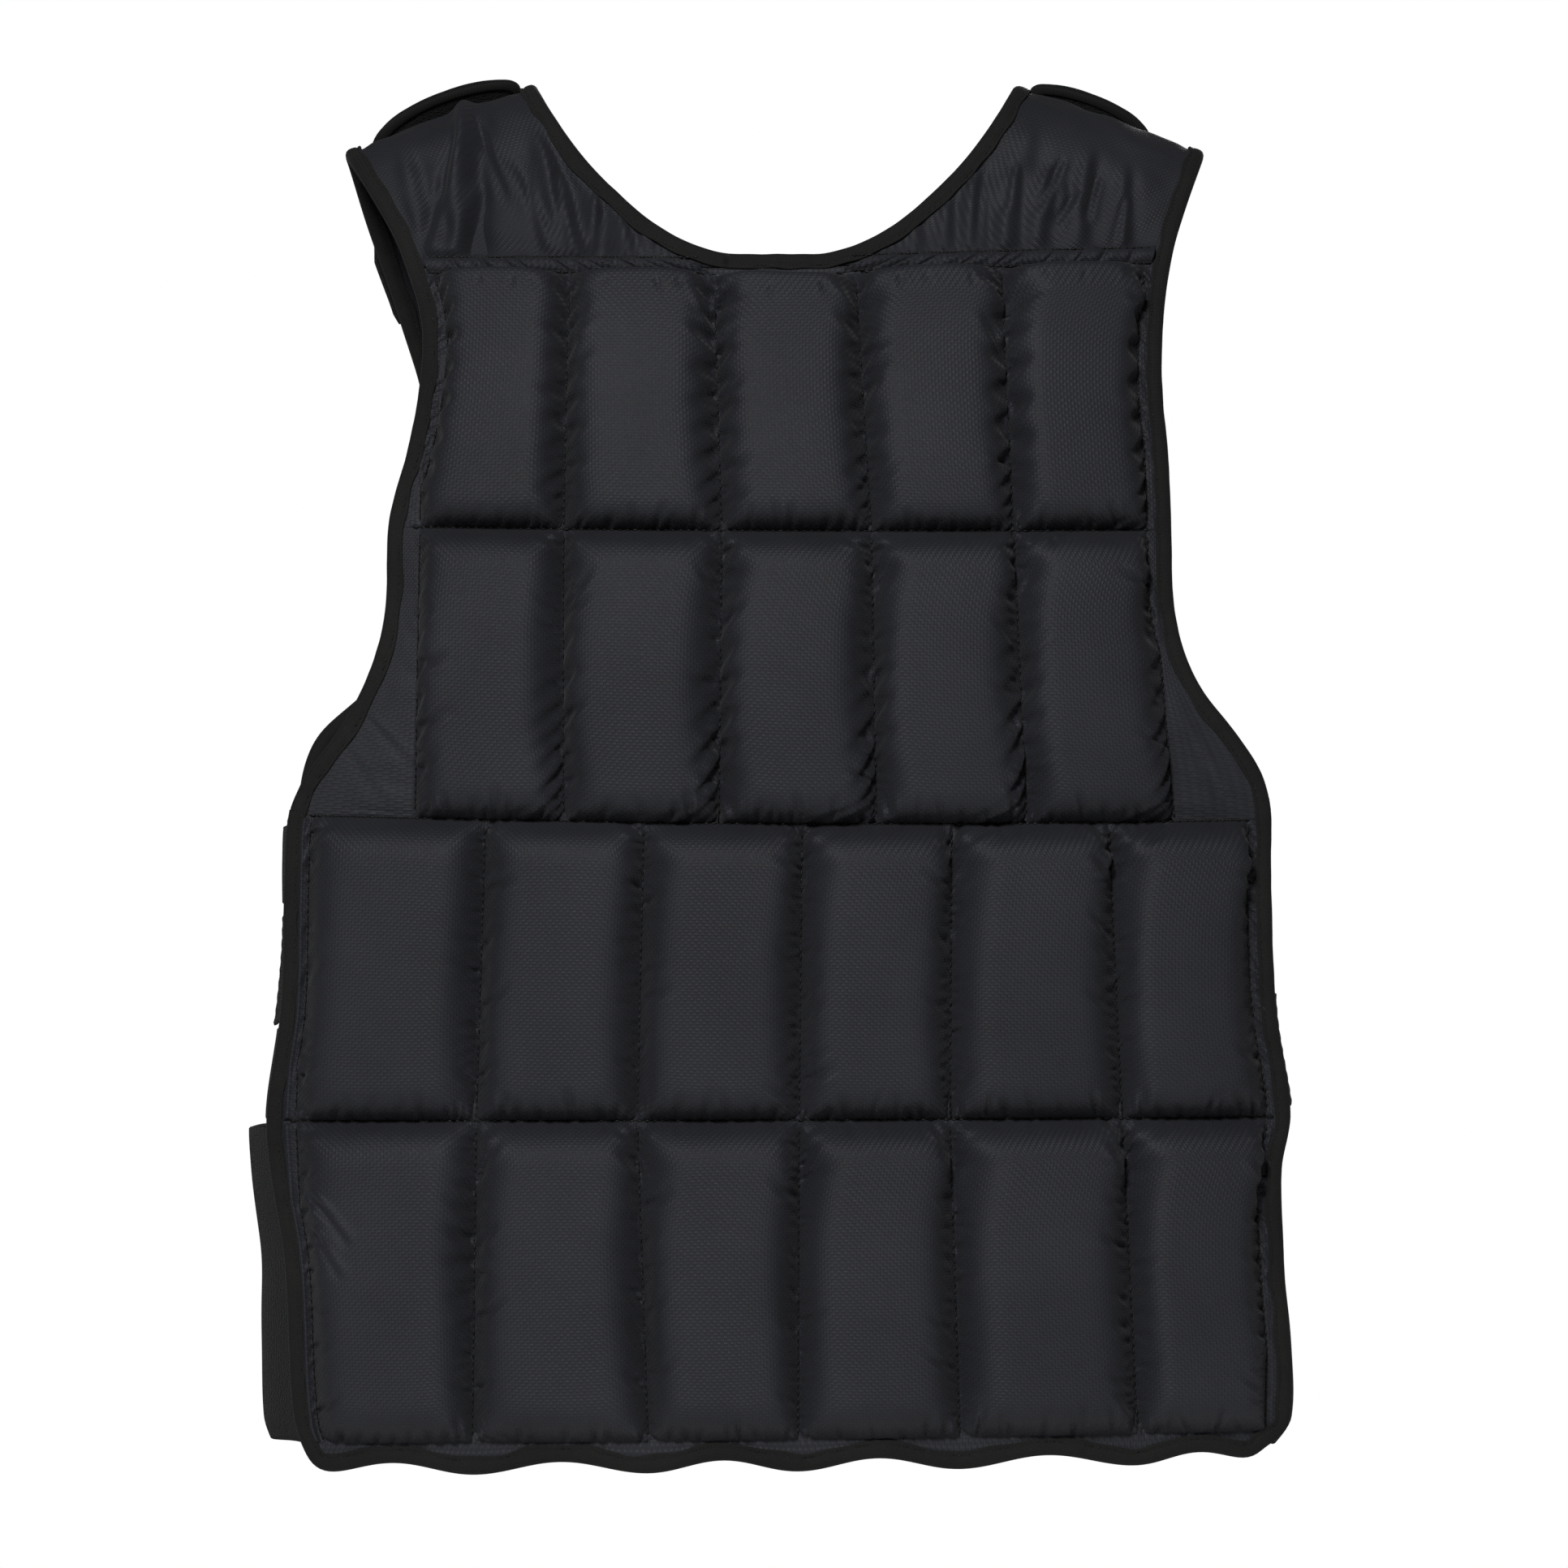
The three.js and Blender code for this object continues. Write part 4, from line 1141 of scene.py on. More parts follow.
        # the lesser of the two, with a soft corner where they meet
        lesser = (side + ends - np.sqrt((side - ends) ** 2 + 0.02 * side * ends)) / 2
        dome = 0.9 + 0.14 * (1 - (2 * u - 1) ** 2) * (1 - (2 * v**1.2 - 1) ** 2)
        return lesser * dome

    def shape(self, row: int) -> tuple[Array, Array, Array]:
        """Works out one row's relaxed cloth.

        Args:
            row: the row, from 0 at the top.

        Returns:
            The cloth's grid, its underside on the same places, and where each place lies on the cut.
        """
        cut = self.cut(row)
        f, x, z = self.form, cut["x"], cut["z"]
        base = f.lifted(self.face, x, z, np.full(x.shape, self.lift))
        out = f.normal(self.face, x, z)
        u, v = cut["u"][None, :], cut["v"][:, None]
        bag = self.bag(u, v, self.top_slope * (1 if row else 0.5))
        crown = np.where(cut["owner"][None, :] >= 0, self.sewn + (self.crown - self.sewn) * bag, self.sewn)
        top = base + out * crown[..., None]
        wide, tall, uv = self.lengths(cut, base, top)
        ease = 1 + self.cloth.uneven * soft_noise(x.shape, 30, 11 + row)
        if self.face is Face.BACK:
            for gx, gz, radius, extra in self.GATHERS:
                ease += extra * np.exp(-((x - gx * MM) ** 2 + (z - gz * MM) ** 2) / (radius * MM) ** 2)
        held_wide, held_tall = self.held_size
        near = np.minimum(np.minimum(u, 1 - u) * held_wide, np.minimum(v, 1 - v) * held_tall)
        hold = self.cloth.press * (0.04 + 0.96 * np.clip(near / self.cloth.soft, 0, 1) ** 2)
        kinds = self.cloth.rests(wide, tall, ease)
        seed = 25 + row + 10 * self.face.value
        top = self.cloth.relaxed(base, out, crown, cut["sewn"], hold, kinds, seed)
        top = top + out * self.lumps(row, cut)[..., None]
        if self.face is Face.BACK:
            top, base, out, uv = finer(top), finer(base), unit(finer(out)), finer(uv)
            sharp = np.zeros(top.shape[:2])
            for pucker in self.puckers(row):
                pucker.add_to(sharp, top[..., 0], top[..., 2])
            for crease in self.CREASES[row]:
                sharp += crease.field(top[..., 0], top[..., 2])
            top = top + out * sharp[..., None]
        return top, base, uv

    def lengths(self, cut: dict[str, Array], base: Array, full: Array) -> tuple[Array, Array, Array]:
        """Works out how long the cloth is cut between neighbouring places.

        Args:
            cut: the row's layout.
            base: its places on the lining.
            full: its places on the bags' crown.

        Returns:
            Lengths from column to column and from row to row, and where each place lies on the cut.
        """
        above, end = cut["body"]
        middle = (above + end) // 2
        wide = spans(base, 1)
        tall = spans(base)
        bulged = spans(full[middle])
        pulled = np.clip(cut["v"][:, None] / 0.16, 0.25, 1)  # less spare cloth along the top seam
        for start, stop in zip(cut["seams"], cut["seams"][1:]):
            c = slice(start, stop)
            spare = bulged[c].sum() / wide[middle, c].sum() - 1
            wide[:, c] *= 1 + spare * self.cloth.wider * pulled
        centres = (cut["seams"][:-1] + cut["seams"][1:]) // 2
        risen = spans(full[:, centres])[above:end - 1].sum()
        lain = tall[above:end - 1][:, centres].sum()
        tall[above:end - 1] *= 1 + (risen / lain - 1) * self.cloth.longer
        across = added_up(wide[middle])
        down = added_up(tall[:, centres[0]])
        return wide, tall, np.stack(np.broadcast_arrays(across[None, :], down[:, None]), -1)

    def lumps(self, row: int, cut: dict[str, Array]) -> Array:
        """Works out the unevenness of the flat strips beside the edge tape.

        Args:
            row: the row, from 0 at the top.
            cut: the row's layout.

        Returns:
            Heights: small soft lumps, and in the lower rows a low ridge where the left seam allowance
            stands up, as half a sine squared.
        """
        shape, columns = cut["x"].shape, np.arange(len(cut["u"]))
        flat = (cut["owner"] < 0)[None, :] & (np.abs(cut["v"][:, None] - 0.5) < 0.49)
        off_edge = np.clip(np.minimum(columns, columns[::-1]) - 3, 0, 2) / 2
        heights = np.abs(soft_noise(shape, 12, 40 + row)) * 0.3 * MM
        if row > 1:
            ridge = 2.2 * MM * np.sin(np.pi * np.clip((cut["u"] - 0.15) / 0.75, 0, 1)) ** 2
            heights = heights + np.where(columns < self.strip, ridge, 0)
        return heights * flat * off_edge

    def puckers(self, row: int) -> list[Pucker]:
        """The sharp puckers that gather at one row's seams.

        Along a side seam they run up and outwards on both sides, a chevron; above a row's lower seam they
        stand nearly upright and close together, and below its upper seam they are few and short.

        Args:
            row: the row, from 0 at the top.

        Returns:
            The puckers, from a seeded spacing.
        """
        f, rng, found = self.form, np.random.default_rng(70 + row + 10 * self.face.value), []
        starts, ends = (np.array(part) * f.half for part in f.ROWS[row])
        top, low = (float(f.row_line(self.face, row + k, np.array(0.0))) for k in (0, 1))
        height = top - low
        for k, (start, end) in enumerate(zip(starts, ends)):
            for sign in (-1, 1):
                if (k == 0 and sign < 0) or (k == len(starts) - 1 and sign > 0):
                    continue
                for kind in (self.SMALL, self.LARGE):
                    at = rng.uniform(6, 12) * MM
                    while at < height - 7 * MM:
                        x = mix(start, end, at / height)
                        z = float(f.row_line(self.face, row, np.array(x))) - at
                        found.append(kind.drawn(rng, (x, z), (sign, 1)))
                        at += rng.uniform(*kind.step) * MM
        for line, seams, kind, up in ((row + 1, ends, self.STANDING, 1), (row, starts, self.HANGING, -1)):
            x = seams[0] + 4 * MM
            while x < seams[-1] - 4 * MM:
                z = float(f.row_line(self.face, line, np.array(x)))
                found.append(kind.drawn(rng, (x, z), (1, up)))
                x += rng.uniform(*kind.step) * MM
        for x, z, lean, long, width, deep in self.MARKS[row]:
            way = (math.cos(math.radians(lean)), math.sin(math.radians(lean)))
            found.append(Pucker((x * MM, z * MM), way, long * MM, width * MM, self.MARK_DEPTH * deep * MM))
        return found

    def pad(self, row: int, top: Array, base: Array, uv: Array) -> bpy.types.Object:
        """Closes one row: the cloth above, a plainer underside that shares its rim below.

        Args:
            row: the row, from 0 at the top.
            top: the cloth's grid.
            base: its underside.
            uv: its places on the cut.

        Returns:
            The row's object.
        """
        rows, columns = top.shape[:2]
        numbers = np.arange(rows * columns).reshape(rows, columns)
        lines = np.linspace(0, rows - 1, 9).round().astype(int)  # the rows of the plainer underside
        under = numbers[lines].copy()
        inner = base[lines[1:-1]][:, 1:-1]
        added = np.arange(inner.shape[0] * inner.shape[1]).reshape(inner.shape[:2])
        under[1:-1, 1:-1] = rows * columns + added
        quads = np.stack([under[:-1, 1:-2], under[1:, 1:-2], under[1:, 2:-1], under[:-1, 2:-1]], -1)
        polygons = grid_quads(rows, columns).tolist() + quads.reshape(-1, 4).tolist()
        for k in range(len(lines) - 1):  # the two ends meet every row of the cloth's side edges
            a, b = lines[k], lines[k + 1]
            polygons.append(numbers[a:b + 1, 0].tolist() + [under[k + 1, 1], under[k, 1]])
            polygons.append(numbers[a:b + 1, -1][::-1].tolist() + [under[k, -2], under[k + 1, -2]])
        points = np.concatenate([top.reshape(-1, 3), inner.reshape(-1, 3)])
        flat = np.concatenate([uv.reshape(-1, 2), uv[lines[1:-1]][:, 1:-1].reshape(-1, 2)])
        name = f"{self.face.word}_quilt_row_{row + 1}"
        piece = make_piece(name, points, polygons, flat, self.finishes.shell)
        count = len(self.form.ROWS[row][0]) - 1
        if self.face is Face.BACK:
            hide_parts(*(f"back_pocket_r{row + 1}_c{k + 1}" for k in range(count)))
        else:
            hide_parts(f"front_pocket_row_{row + 1}")
        return piece


@dataclass
class LiningPanel:
    """The lining of one face, with the quilting pressed into it from the other side."""

    form: VestForm
    finishes: Finishes
    face: Face
    columns: int = 150
    rows: int = 170

    def build(self) -> bpy.types.Object:
        """Builds the sheet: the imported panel's surface, its inner face drawn out a little at every seam.

        Returns:
            The sheet's object.
        """
        f = self.form
        across, down = np.linspace(0, 1, self.columns), np.linspace(0, 1, self.rows)
        inner = f.panel_grid(self.face, across, down, f.inset)
        out = grid_normals(inner, (0, 0, -0.3))
        x, z = inner[..., 0], inner[..., 2]
        near = np.full(x.shape, 1.0)
        for row, (starts, ends) in enumerate(f.ROWS):
            top, low = f.row_line(self.face, row, x), f.row_line(self.face, row + 1, x)
            v = (z - top) / (low - top)
            inside = (v >= -0.01) & (v <= 1.01)
            for start, end in zip(starts, ends):
                off = np.abs(x - mix(start, end, v) * f.half)
                near = np.where(inside, np.minimum(near, off), near)
            near = np.minimum(near, np.minimum(np.abs(z - top), np.abs(z - low)))
        edge = np.minimum(np.minimum(*np.mgrid[0:self.rows, 0:self.columns]),
                          np.minimum(*np.mgrid[0:self.rows, 0:self.columns][:, ::-1, ::-1]))
        keep = np.clip((edge - 3) / 4, 0, 1)
        puff = (1.2 * MM * (1 - np.exp(-near / (7 * MM))) - 0.2 * MM
                + soft_noise(x.shape, 10, 3) * 0.18 * MM) * keep
        wall = f.lining - 0.1 * MM
        piece = closed_sheet(f"{self.face.word}_lining", inner - out * puff[..., None], inner + out * wall,
                             self.finishes.lining)
        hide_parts(f"{self.face.word}_panel")
        return piece


@dataclass
class Yoke:
    """One side's padded strap over the shoulder, with the casings sewn over its two seams."""

    form: VestForm
    finishes: Finishes
    side: Side
    padding: float = 1.6 * MM
    columns: int = 90
    rows: int = 190
    BACK_FOLDS = {
        Side.LEFT: (Crease((-129, 8), (-135, -54), 6.5, 6.0), Crease((-125, -26), (-133, -56), 4.0, 3.0),
                    Crease((-99, -6), (-86, -58), 6.0, 4.6), Crease((-75, -28), (-80, -58), 4.4, 3.6),
                    Crease((-65, -38), (-61, -60), 3.6, 2.2), Crease((-55, -43), (-52, -62), 3.0, 1.8),
                    Crease((-156, -14), (-147, -52), 6.0, 2.4), Crease((-112, -18), (-96, -50), 4.0, 1.4),
                    Crease((-143, -24), (-141, -54), 4.0, 1.8), Crease((-133, -4), (-148, -54), 3.4, -2.6),
                    Crease((-127, 4), (-114, -30), 2.4, -1.5), Crease((-92, -22), (-88, -54), 2.6, -2.0),
                    Crease((-76, -28), (-80, -54), 2.2, -1.6), Crease((-104, -26), (-99, -54), 2.4, -1.2)),
        Side.RIGHT: (Crease((83, -16), (82, -52), 4.6, 2.8), Crease((99, -20), (96, -52), 4.6, 3.0),
                     Crease((114, -20), (109, -50), 5.0, 3.0), Crease((131, -14), (125, -50), 5.0, 2.6),
                     Crease((146, -20), (144, -50), 4.4, 2.0), Crease((72, -30), (71, -54), 3.6, 2.2),
                     Crease((58, -40), (60, -58), 3.2, 1.8), Crease((106, -2), (101, -30), 6.0, 1.2),
                     Crease((120, -24), (118, -48), 3.6, 1.8), Crease((99, -18), (96, -36), 2.2, -2.2),
                     Crease((120, -16), (110, -36), 2.4, -2.4), Crease((126, -30), (118, -42), 2.2, -2.0),
                     Crease((135, -23), (130, -40), 2.2, -2.0), Crease((146, -32), (142, -50), 2.2, -1.8),
                     Crease((86, -28), (84, -53), 2.0, -1.8)),
    }

    def strap(self) -> bpy.types.Object:
        """Builds the strap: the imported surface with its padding, the photo's folds and smaller ones in front.

        Returns:
            The strap's object.
        """
        f = self.form
        u, v = np.linspace(0, 1, self.columns), np.linspace(0, 1, self.rows)
        base = f.strap_grid(self.side, u, v, f.inset)
        out = grid_normals(base, (self.side.value * 0.13, 0, -0.08))
        x, z = base[..., 0], base[..., 2]
        share = np.abs(2 * v - 1)[:, None]
        across = np.clip((u[None, :] - 0.08) / 0.84, 0, 1)
        pad = self.padding * np.sin(np.pi * across) ** 0.8 * np.maximum(1 - (share / 0.97) ** 14, 0)
        folds = np.zeros_like(x)
        for crease in self.BACK_FOLDS[self.side]:
            folds += crease.field(x, z) * (v[:, None] < 0.5)
        rng = np.random.default_rng(7 + self.side.value)
        seam = f.yoke_seam(Face.FRONT, x)
        for k in range(9):
            at = self.side.value * (70 + 11 * k + rng.uniform(-3, 3))
            foot = float(f.yoke_seam(Face.FRONT, np.array(at * MM))) / MM
            lean = rng.uniform(-5, 5)
            fold = Crease((at + lean, foot + rng.uniform(18, 34)), (at, foot), rng.uniform(2.6, 4.4), 1.3)
            folds += fold.field(x, z) * (v[:, None] > 0.5)
        folds += soft_noise(x.shape, 60, 21 + self.side.value) * 0.35 * MM
        width = np.linalg.norm(base[:, -1] - base[:, 0], axis=1)[:, None]
        into = np.minimum(u[None, :], 1 - u[None, :]) * width
        below = np.abs(z - np.where(v[:, None] < 0.5, f.yoke_seam(Face.BACK, x), seam))
        off_seam = np.where(share > 0.3, np.clip((below - 2 * MM) / (4 * MM), 0, 1), 1)
        keep = np.clip((into - 5.5 * MM) / (5 * MM), 0, 1) * off_seam
        outer = base + out * (f.lining + pad + folds * keep)[..., None]
        inner = base - out * (pad * 0.7)[..., None]
        piece = closed_sheet(f"shoulder_yoke_{self.side.word}", inner, outer, self.finishes.shell)
        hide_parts(f"shoulder_strap_{self.side.word}")
        return piece

    def casing(self, face: Face) -> bpy.types.Object:
        """Builds the casing over one seam: a strip puffed between its two rows of stitches, drawn in at each.

        Args:
            face: the back seam or the front one.

        Returns:
            The casing's object.
        """
        f, sign = self.form, self.side.value
        u, v = np.linspace(0, 1, 190)[None, :], np.linspace(0, 1, 15)[:, None]
        arm = np.array(sign * self.form.EDGES[0, 1] * f.half)

        def seam(x: Array) -> Array:
            """Height of a row of the casing."""
            return f.yoke_seam(face, x) + f.band * (0.5 - v)
        outer = sign * f.reach(face, self.side, seam(arm), f.tape + 3 * f.gap)
        lip = seam(np.array(0.0)) + f.tape * 1.4
        share = np.clip((f.rise - lip) / f.DROPS[face], 0, 0.97)
        inner = sign * smooth_read(f.NECKLINE[:, 0], f.NECKLINE[:, 1], share) * f.neck_half
        x = mix(outer, inner, u)
        z = seam(x)
        puckers = wander(0.12, 9 * MM, 190, 5 + face.value)[None, :] * 0.35 * MM
        puff = np.sin(np.pi * np.clip((v - 0.1) / 0.8, 0, 1)) ** 0.6
        rng = np.random.default_rng(50 + 2 * face.value + sign)
        for place in np.cumsum(rng.uniform(0.04, 0.14, 14)):  # pinched across where a gather is caught
            puff = puff * (1 - 0.6 * np.exp(-(((u - place) / 0.008) ** 2)))
        lift = f.lining + f.sewn_lift
        high = lift + 0.5 * MM + (2.8 * MM + puckers) * puff
        z = z + wander(0.12, 14 * MM, 190, 9 + face.value)[None, :] * 0.3 * MM * np.abs(2 * v - 1) ** 2
        low = np.full(high.shape, lift)
        piece = closed_sheet(f"{face.word}_casing_{self.side.word}", f.lifted(face, x, z, low),
                             f.lifted(face, x, z, high), self.finishes.shell)
        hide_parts(f"{face.word}_band_{self.side.word}")
        return piece


@dataclass
class EdgeTapes:
    """The folded tape round the neck, the armholes and the outer edges."""

    form: VestForm
    finishes: Finishes
    step: float = 2.2 * MM
    GROOVE = 0.78  # where the stitches lie, as a share of the tape's width from its fold

    def outline(self) -> Array:
        """Draws the tape's folded profile: its face with the stitch groove, the fold, then back inside.

        Returns:
            The closed outline: places across, 0 at the fold, and heights off the middle of the cloth.
        """
        f = self.form
        width, half, wall = f.tape, f.tape_half, f.tape_wall
        outer = np.array([(-1.0, 0.84), (-0.95, 0.97), (-0.86, 0.93), (-self.GROOVE, 0.84), (-0.69, 0.95),
                          (-0.5, 1.0), (-0.3, 0.96), (-0.15, 0.8), (-0.05, 0.5), (0, 0.0)]) * (width, half)
        inner = outer[1:-1][::-1] * (1, (half - wall) / half)
        inner[:, 0] = np.minimum(inner[:, 0], -wall)
        lower = outer[:-1][::-1] * (1, -1)
        back = np.concatenate([inner[::-1] * (1, -1), [(-wall, 0.0)], inner])
        return np.concatenate([outer, lower, back])

    def tape(self, name: str, points: Array, normals: Array, closed: bool, seed: int,
             outward: Array) -> tuple[bpy.types.Object, Array, Array, Array]:
        """Folds a tape round a path on the middle of the cloth's edge.

        Args:
            name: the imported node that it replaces.
            points: places along the finished edge.
            normals: the cloth's outward normals there.
            closed: whether the path is a ring.
            seed: the seed of its small waves.
            outward: a direction away from the cloth at each place, roughly.

        Returns:
            The tape, and its path, outward and normal directions as resampled.
        """
        if closed:
            points, normals, outward = (np.concatenate([a, a[:1]]) for a in (points, normals, outward))
        s = added_up(spans(points))
        count = int(s[-1] / self.step)
        at = np.linspace(0, s[-1], count + 1)
        points, normals, outward = (read_path(a, s, at) for a in (points, normals, outward))
        if closed:
            points, normals, outward = points[:-1], normals[:-1], outward[:-1]
        for _ in range(6):  # rounds the corners between the places
            for a in (points, normals, outward):
                smooth = (np.roll(a, 1, 0) + 2 * a + np.roll(a, -1, 0)) / 4
                if not closed:
                    smooth[[0, -1]] = a[[0, -1]]
                a[:] = smooth
        tangent = np.roll(points, -1, 0) - np.roll(points, 1, 0)
        if not closed:
            tangent[0], tangent[-1] = points[1] - points[0], points[-1] - points[-2]
        tangent = unit(tangent)
        normals = unit(normals - tangent * (normals * tangent).sum(1, keepdims=True))
        across = np.cross(tangent, normals)
        across *= np.sign((across * outward).sum(1, keepdims=True))
        n = len(points)
        fade = np.ones(n) if not closed else np.minimum(np.minimum(np.arange(n), np.arange(n)[::-1]) / 6, 1)
        swell = 1 + 0.07 * wander(s[-1], 13 * MM, n, seed) * fade
        wave = 0.32 * MM * wander(s[-1], 24 * MM, n, seed + 1) * fade
        profile = np.repeat(self.outline()[None], n, 0)
        profile[..., 1] *= swell[:, None]
        profile[..., 0] += wave[:, None] * np.clip(-profile[..., 0] / self.form.tape, 0, 1)
        piece = swept(name.replace("binding", "tape"), points, across, normals, profile, self.finishes.tape,
                      closed)
        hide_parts(name)
        return piece, points, across, normals

    def panel_run(self, face: Face, u: Array, v: Array) -> tuple[Array, Array]:
        """Follows a panel's finished edge.

        Args:
            face: back or front.
            u: places across the panel, 0 to 1.
            v: places down it.

        Returns:
            Places on the middle of the cloth and their normals, from small steps on the panel's grid.
        """
        f = self.form
        points, normals = [], []
        step = 0.012
        for a, b in zip(u, v):
            across = np.array([max(a - step, 0), a, min(a + step, 1)])
            down = np.array([max(b - step, 0), b, min(b + step, 1)])
            grid = f.panel_grid(face, across, down, 0.0)
            points.append(grid[1, 1])
            n = unit(np.cross(grid[1, 2] - grid[1, 0], grid[2, 1] - grid[0, 1]))
            normals.append(n * np.sign(n[1]) * face.value)
        points, normals = np.array(points), np.array(normals)
        return points + normals * f.lining / 2, normals

    def strap_run(self, side: Side, u: float) -> tuple[Array, Array, Array]:
        """Follows one edge of a strap from the back to the front.

        Args:
            side: which strap.
            u: 0 for its armhole edge, 1 for its neck edge.

        Returns:
            Places on the middle of the cloth, their normals, and directions away from the strap.
        """
        f = self.form
        v = mix(0.012, 0.988, np.linspace(0, 1, 90))
        across = np.array([0, 0.06, 0.12]) if u == 0 else np.array([0.88, 0.94, 1])
        grid = f.strap_grid(side, across, v, 0.0)
        normals = grid_normals(grid, (side.value * 0.13, 0, -0.08))[:, 1]
        edge = grid[:, 0] if u == 0 else grid[:, -1]
        return edge + normals * f.lining / 2, normals, edge - grid[:, 1]

    def armhole(self, side: Side) -> tuple[bpy.types.Object, Array, Array, Array]:
        """Folds the armhole's tape: up the back panel's edge, over the strap, down the front panel's edge.

        Args:
            side: which armhole.

        Returns:
            What tape() gives.
        """
        v = np.linspace(0.02, 0.466, 50)
        across = np.full(50, 0.0 if side is Side.LEFT else 1.0)
        back, back_n = self.panel_run(Face.BACK, across, v)
        front, front_n = self.panel_run(Face.FRONT, across, v)
        top, top_n, top_out = self.strap_run(side, 0)
        flank = np.tile([side.value, 0.0, 0.0], (50, 1))
        return self.tape(f"armhole_binding_{side.word}", np.concatenate([back[::-1], top, front]),
                         np.concatenate([back_n[::-1], top_n, front_n]), False, 3 + side.value,
                         np.concatenate([flank, unit(top_out), flank]))

    def outer_edge(self, face: Face) -> tuple[bpy.types.Object, Array, Array, Array]:
        """Folds the tape from one underarm round the hem to the other.

        Args:
            face: back or front.

        Returns:
            What tape() gives.
        """
        v = np.linspace(0.456, 1, 46)
        u = np.linspace(0, 1, 90)[1:-1]
        tall, wide = len(v), len(u)
        us = np.concatenate([np.zeros(tall), u, np.ones(tall)])
        vs = np.concatenate([v, np.ones(wide), v[::-1]])
        points, normals = self.panel_run(face, us, vs)
        outward = np.concatenate([np.tile([-1.0, 0, 0], (tall, 1)), np.tile([0, 0, -1.0], (wide, 1)),
                                  np.tile([1.0, 0, 0], (tall, 1))])
        return self.tape(f"{face.word}_edge_binding", points, normals, False, 8 + face.value, outward)

    def neck(self) -> tuple[bpy.types.Object, Array, Array, Array]:
        """Folds the neck's tape, a ring: over the left strap to the front, over the right one to the back.

        Returns:
            What tape() gives.
        """
        left, left_n, _ = self.strap_run(Side.LEFT, 1)
        right, right_n, _ = self.strap_run(Side.RIGHT, 1)
        points, normals = np.concatenate([left, right[::-1]]), np.concatenate([left_n, right_n[::-1]])
        to_opening = unit(np.array([0, 0, 0.1]) - points * (1, 0, 1))
        return self.tape("neck_binding", points, normals, True, 12, to_opening)


@dataclass
class Stitching:
    """Rows of thread stitches, each stitch a short arched bead that dips into the cloth at both ends."""

    finishes: Finishes
    length: float = 2.5 * MM
    pitch: float = 3.3 * MM
    radius: float = 0.26 * MM

    def row(self, name: str, runs: list[tuple[Array, Array]]) -> bpy.types.Object:
        """Sews stitches along paths.

        Args:
            name: the object's name.
            runs: for each row of stitches, its points and the cloth's normals.

        Returns:
            One object with every stitch. A stitch is five rings of five points, its radius and its height
            over the cloth both half a sine of the way along it, closed by two fans.
        """
        places, ways, ups = [], [], []
        for points, normals in runs:
            s = added_up(spans(points))
            at = np.arange(self.pitch, s[-1] - self.pitch / 2, self.pitch)
            if len(at) == 0:
                continue
            places.append(read_path(points, s, at))
            ahead, behind = (read_path(points, s, at + sign * self.length / 2) for sign in (1, -1))
            ways.append(unit(ahead - behind))
            ups.append(unit(read_path(normals, s, at)))
        place, way, up = np.concatenate(places), np.concatenate(ways), np.concatenate(ups)
        side = unit(np.cross(way, up))
        n = 5  # rings along a stitch, and points round each ring
        t = np.linspace(-1, 1, n)
        swell = np.cos(t * np.pi / 2 * 0.8)
        angle = np.arange(n) * 2 * np.pi / n
        ring = (side[:, None, None] * np.cos(angle)[None, None, :, None]
                + up[:, None, None] * np.sin(angle)[None, None, :, None])
        ring = ring * self.radius * swell[None, :, None, None]
        spine = (place[:, None] + way[:, None] * (t * self.length / 2)[None, :, None]
                 + up[:, None] * ((swell - 0.75) * self.radius * 1.6)[None, :, None])
        points = (spine[:, :, None] + ring).reshape(-1, 3)
        k = np.arange(n - 1)[:, None] * n + np.arange(n)[None, :]
        after = np.roll(k, -1, 1)
        quads = np.stack([k, after, after + n, k + n], -1).reshape(-1, 4)
        starts = np.arange(len(place)) * n * n
        polygons = (quads[None] + starts[:, None, None]).reshape(-1, 4).tolist()
        polygons += (np.arange(n)[::-1][None] + starts[:, None]).tolist()
        polygons += (np.arange(n * n - n, n * n)[None] + starts[:, None]).tolist()
        piece = make_piece(name, points, polygons, points[:, [0, 2]], self.finishes.thread)
        return piece


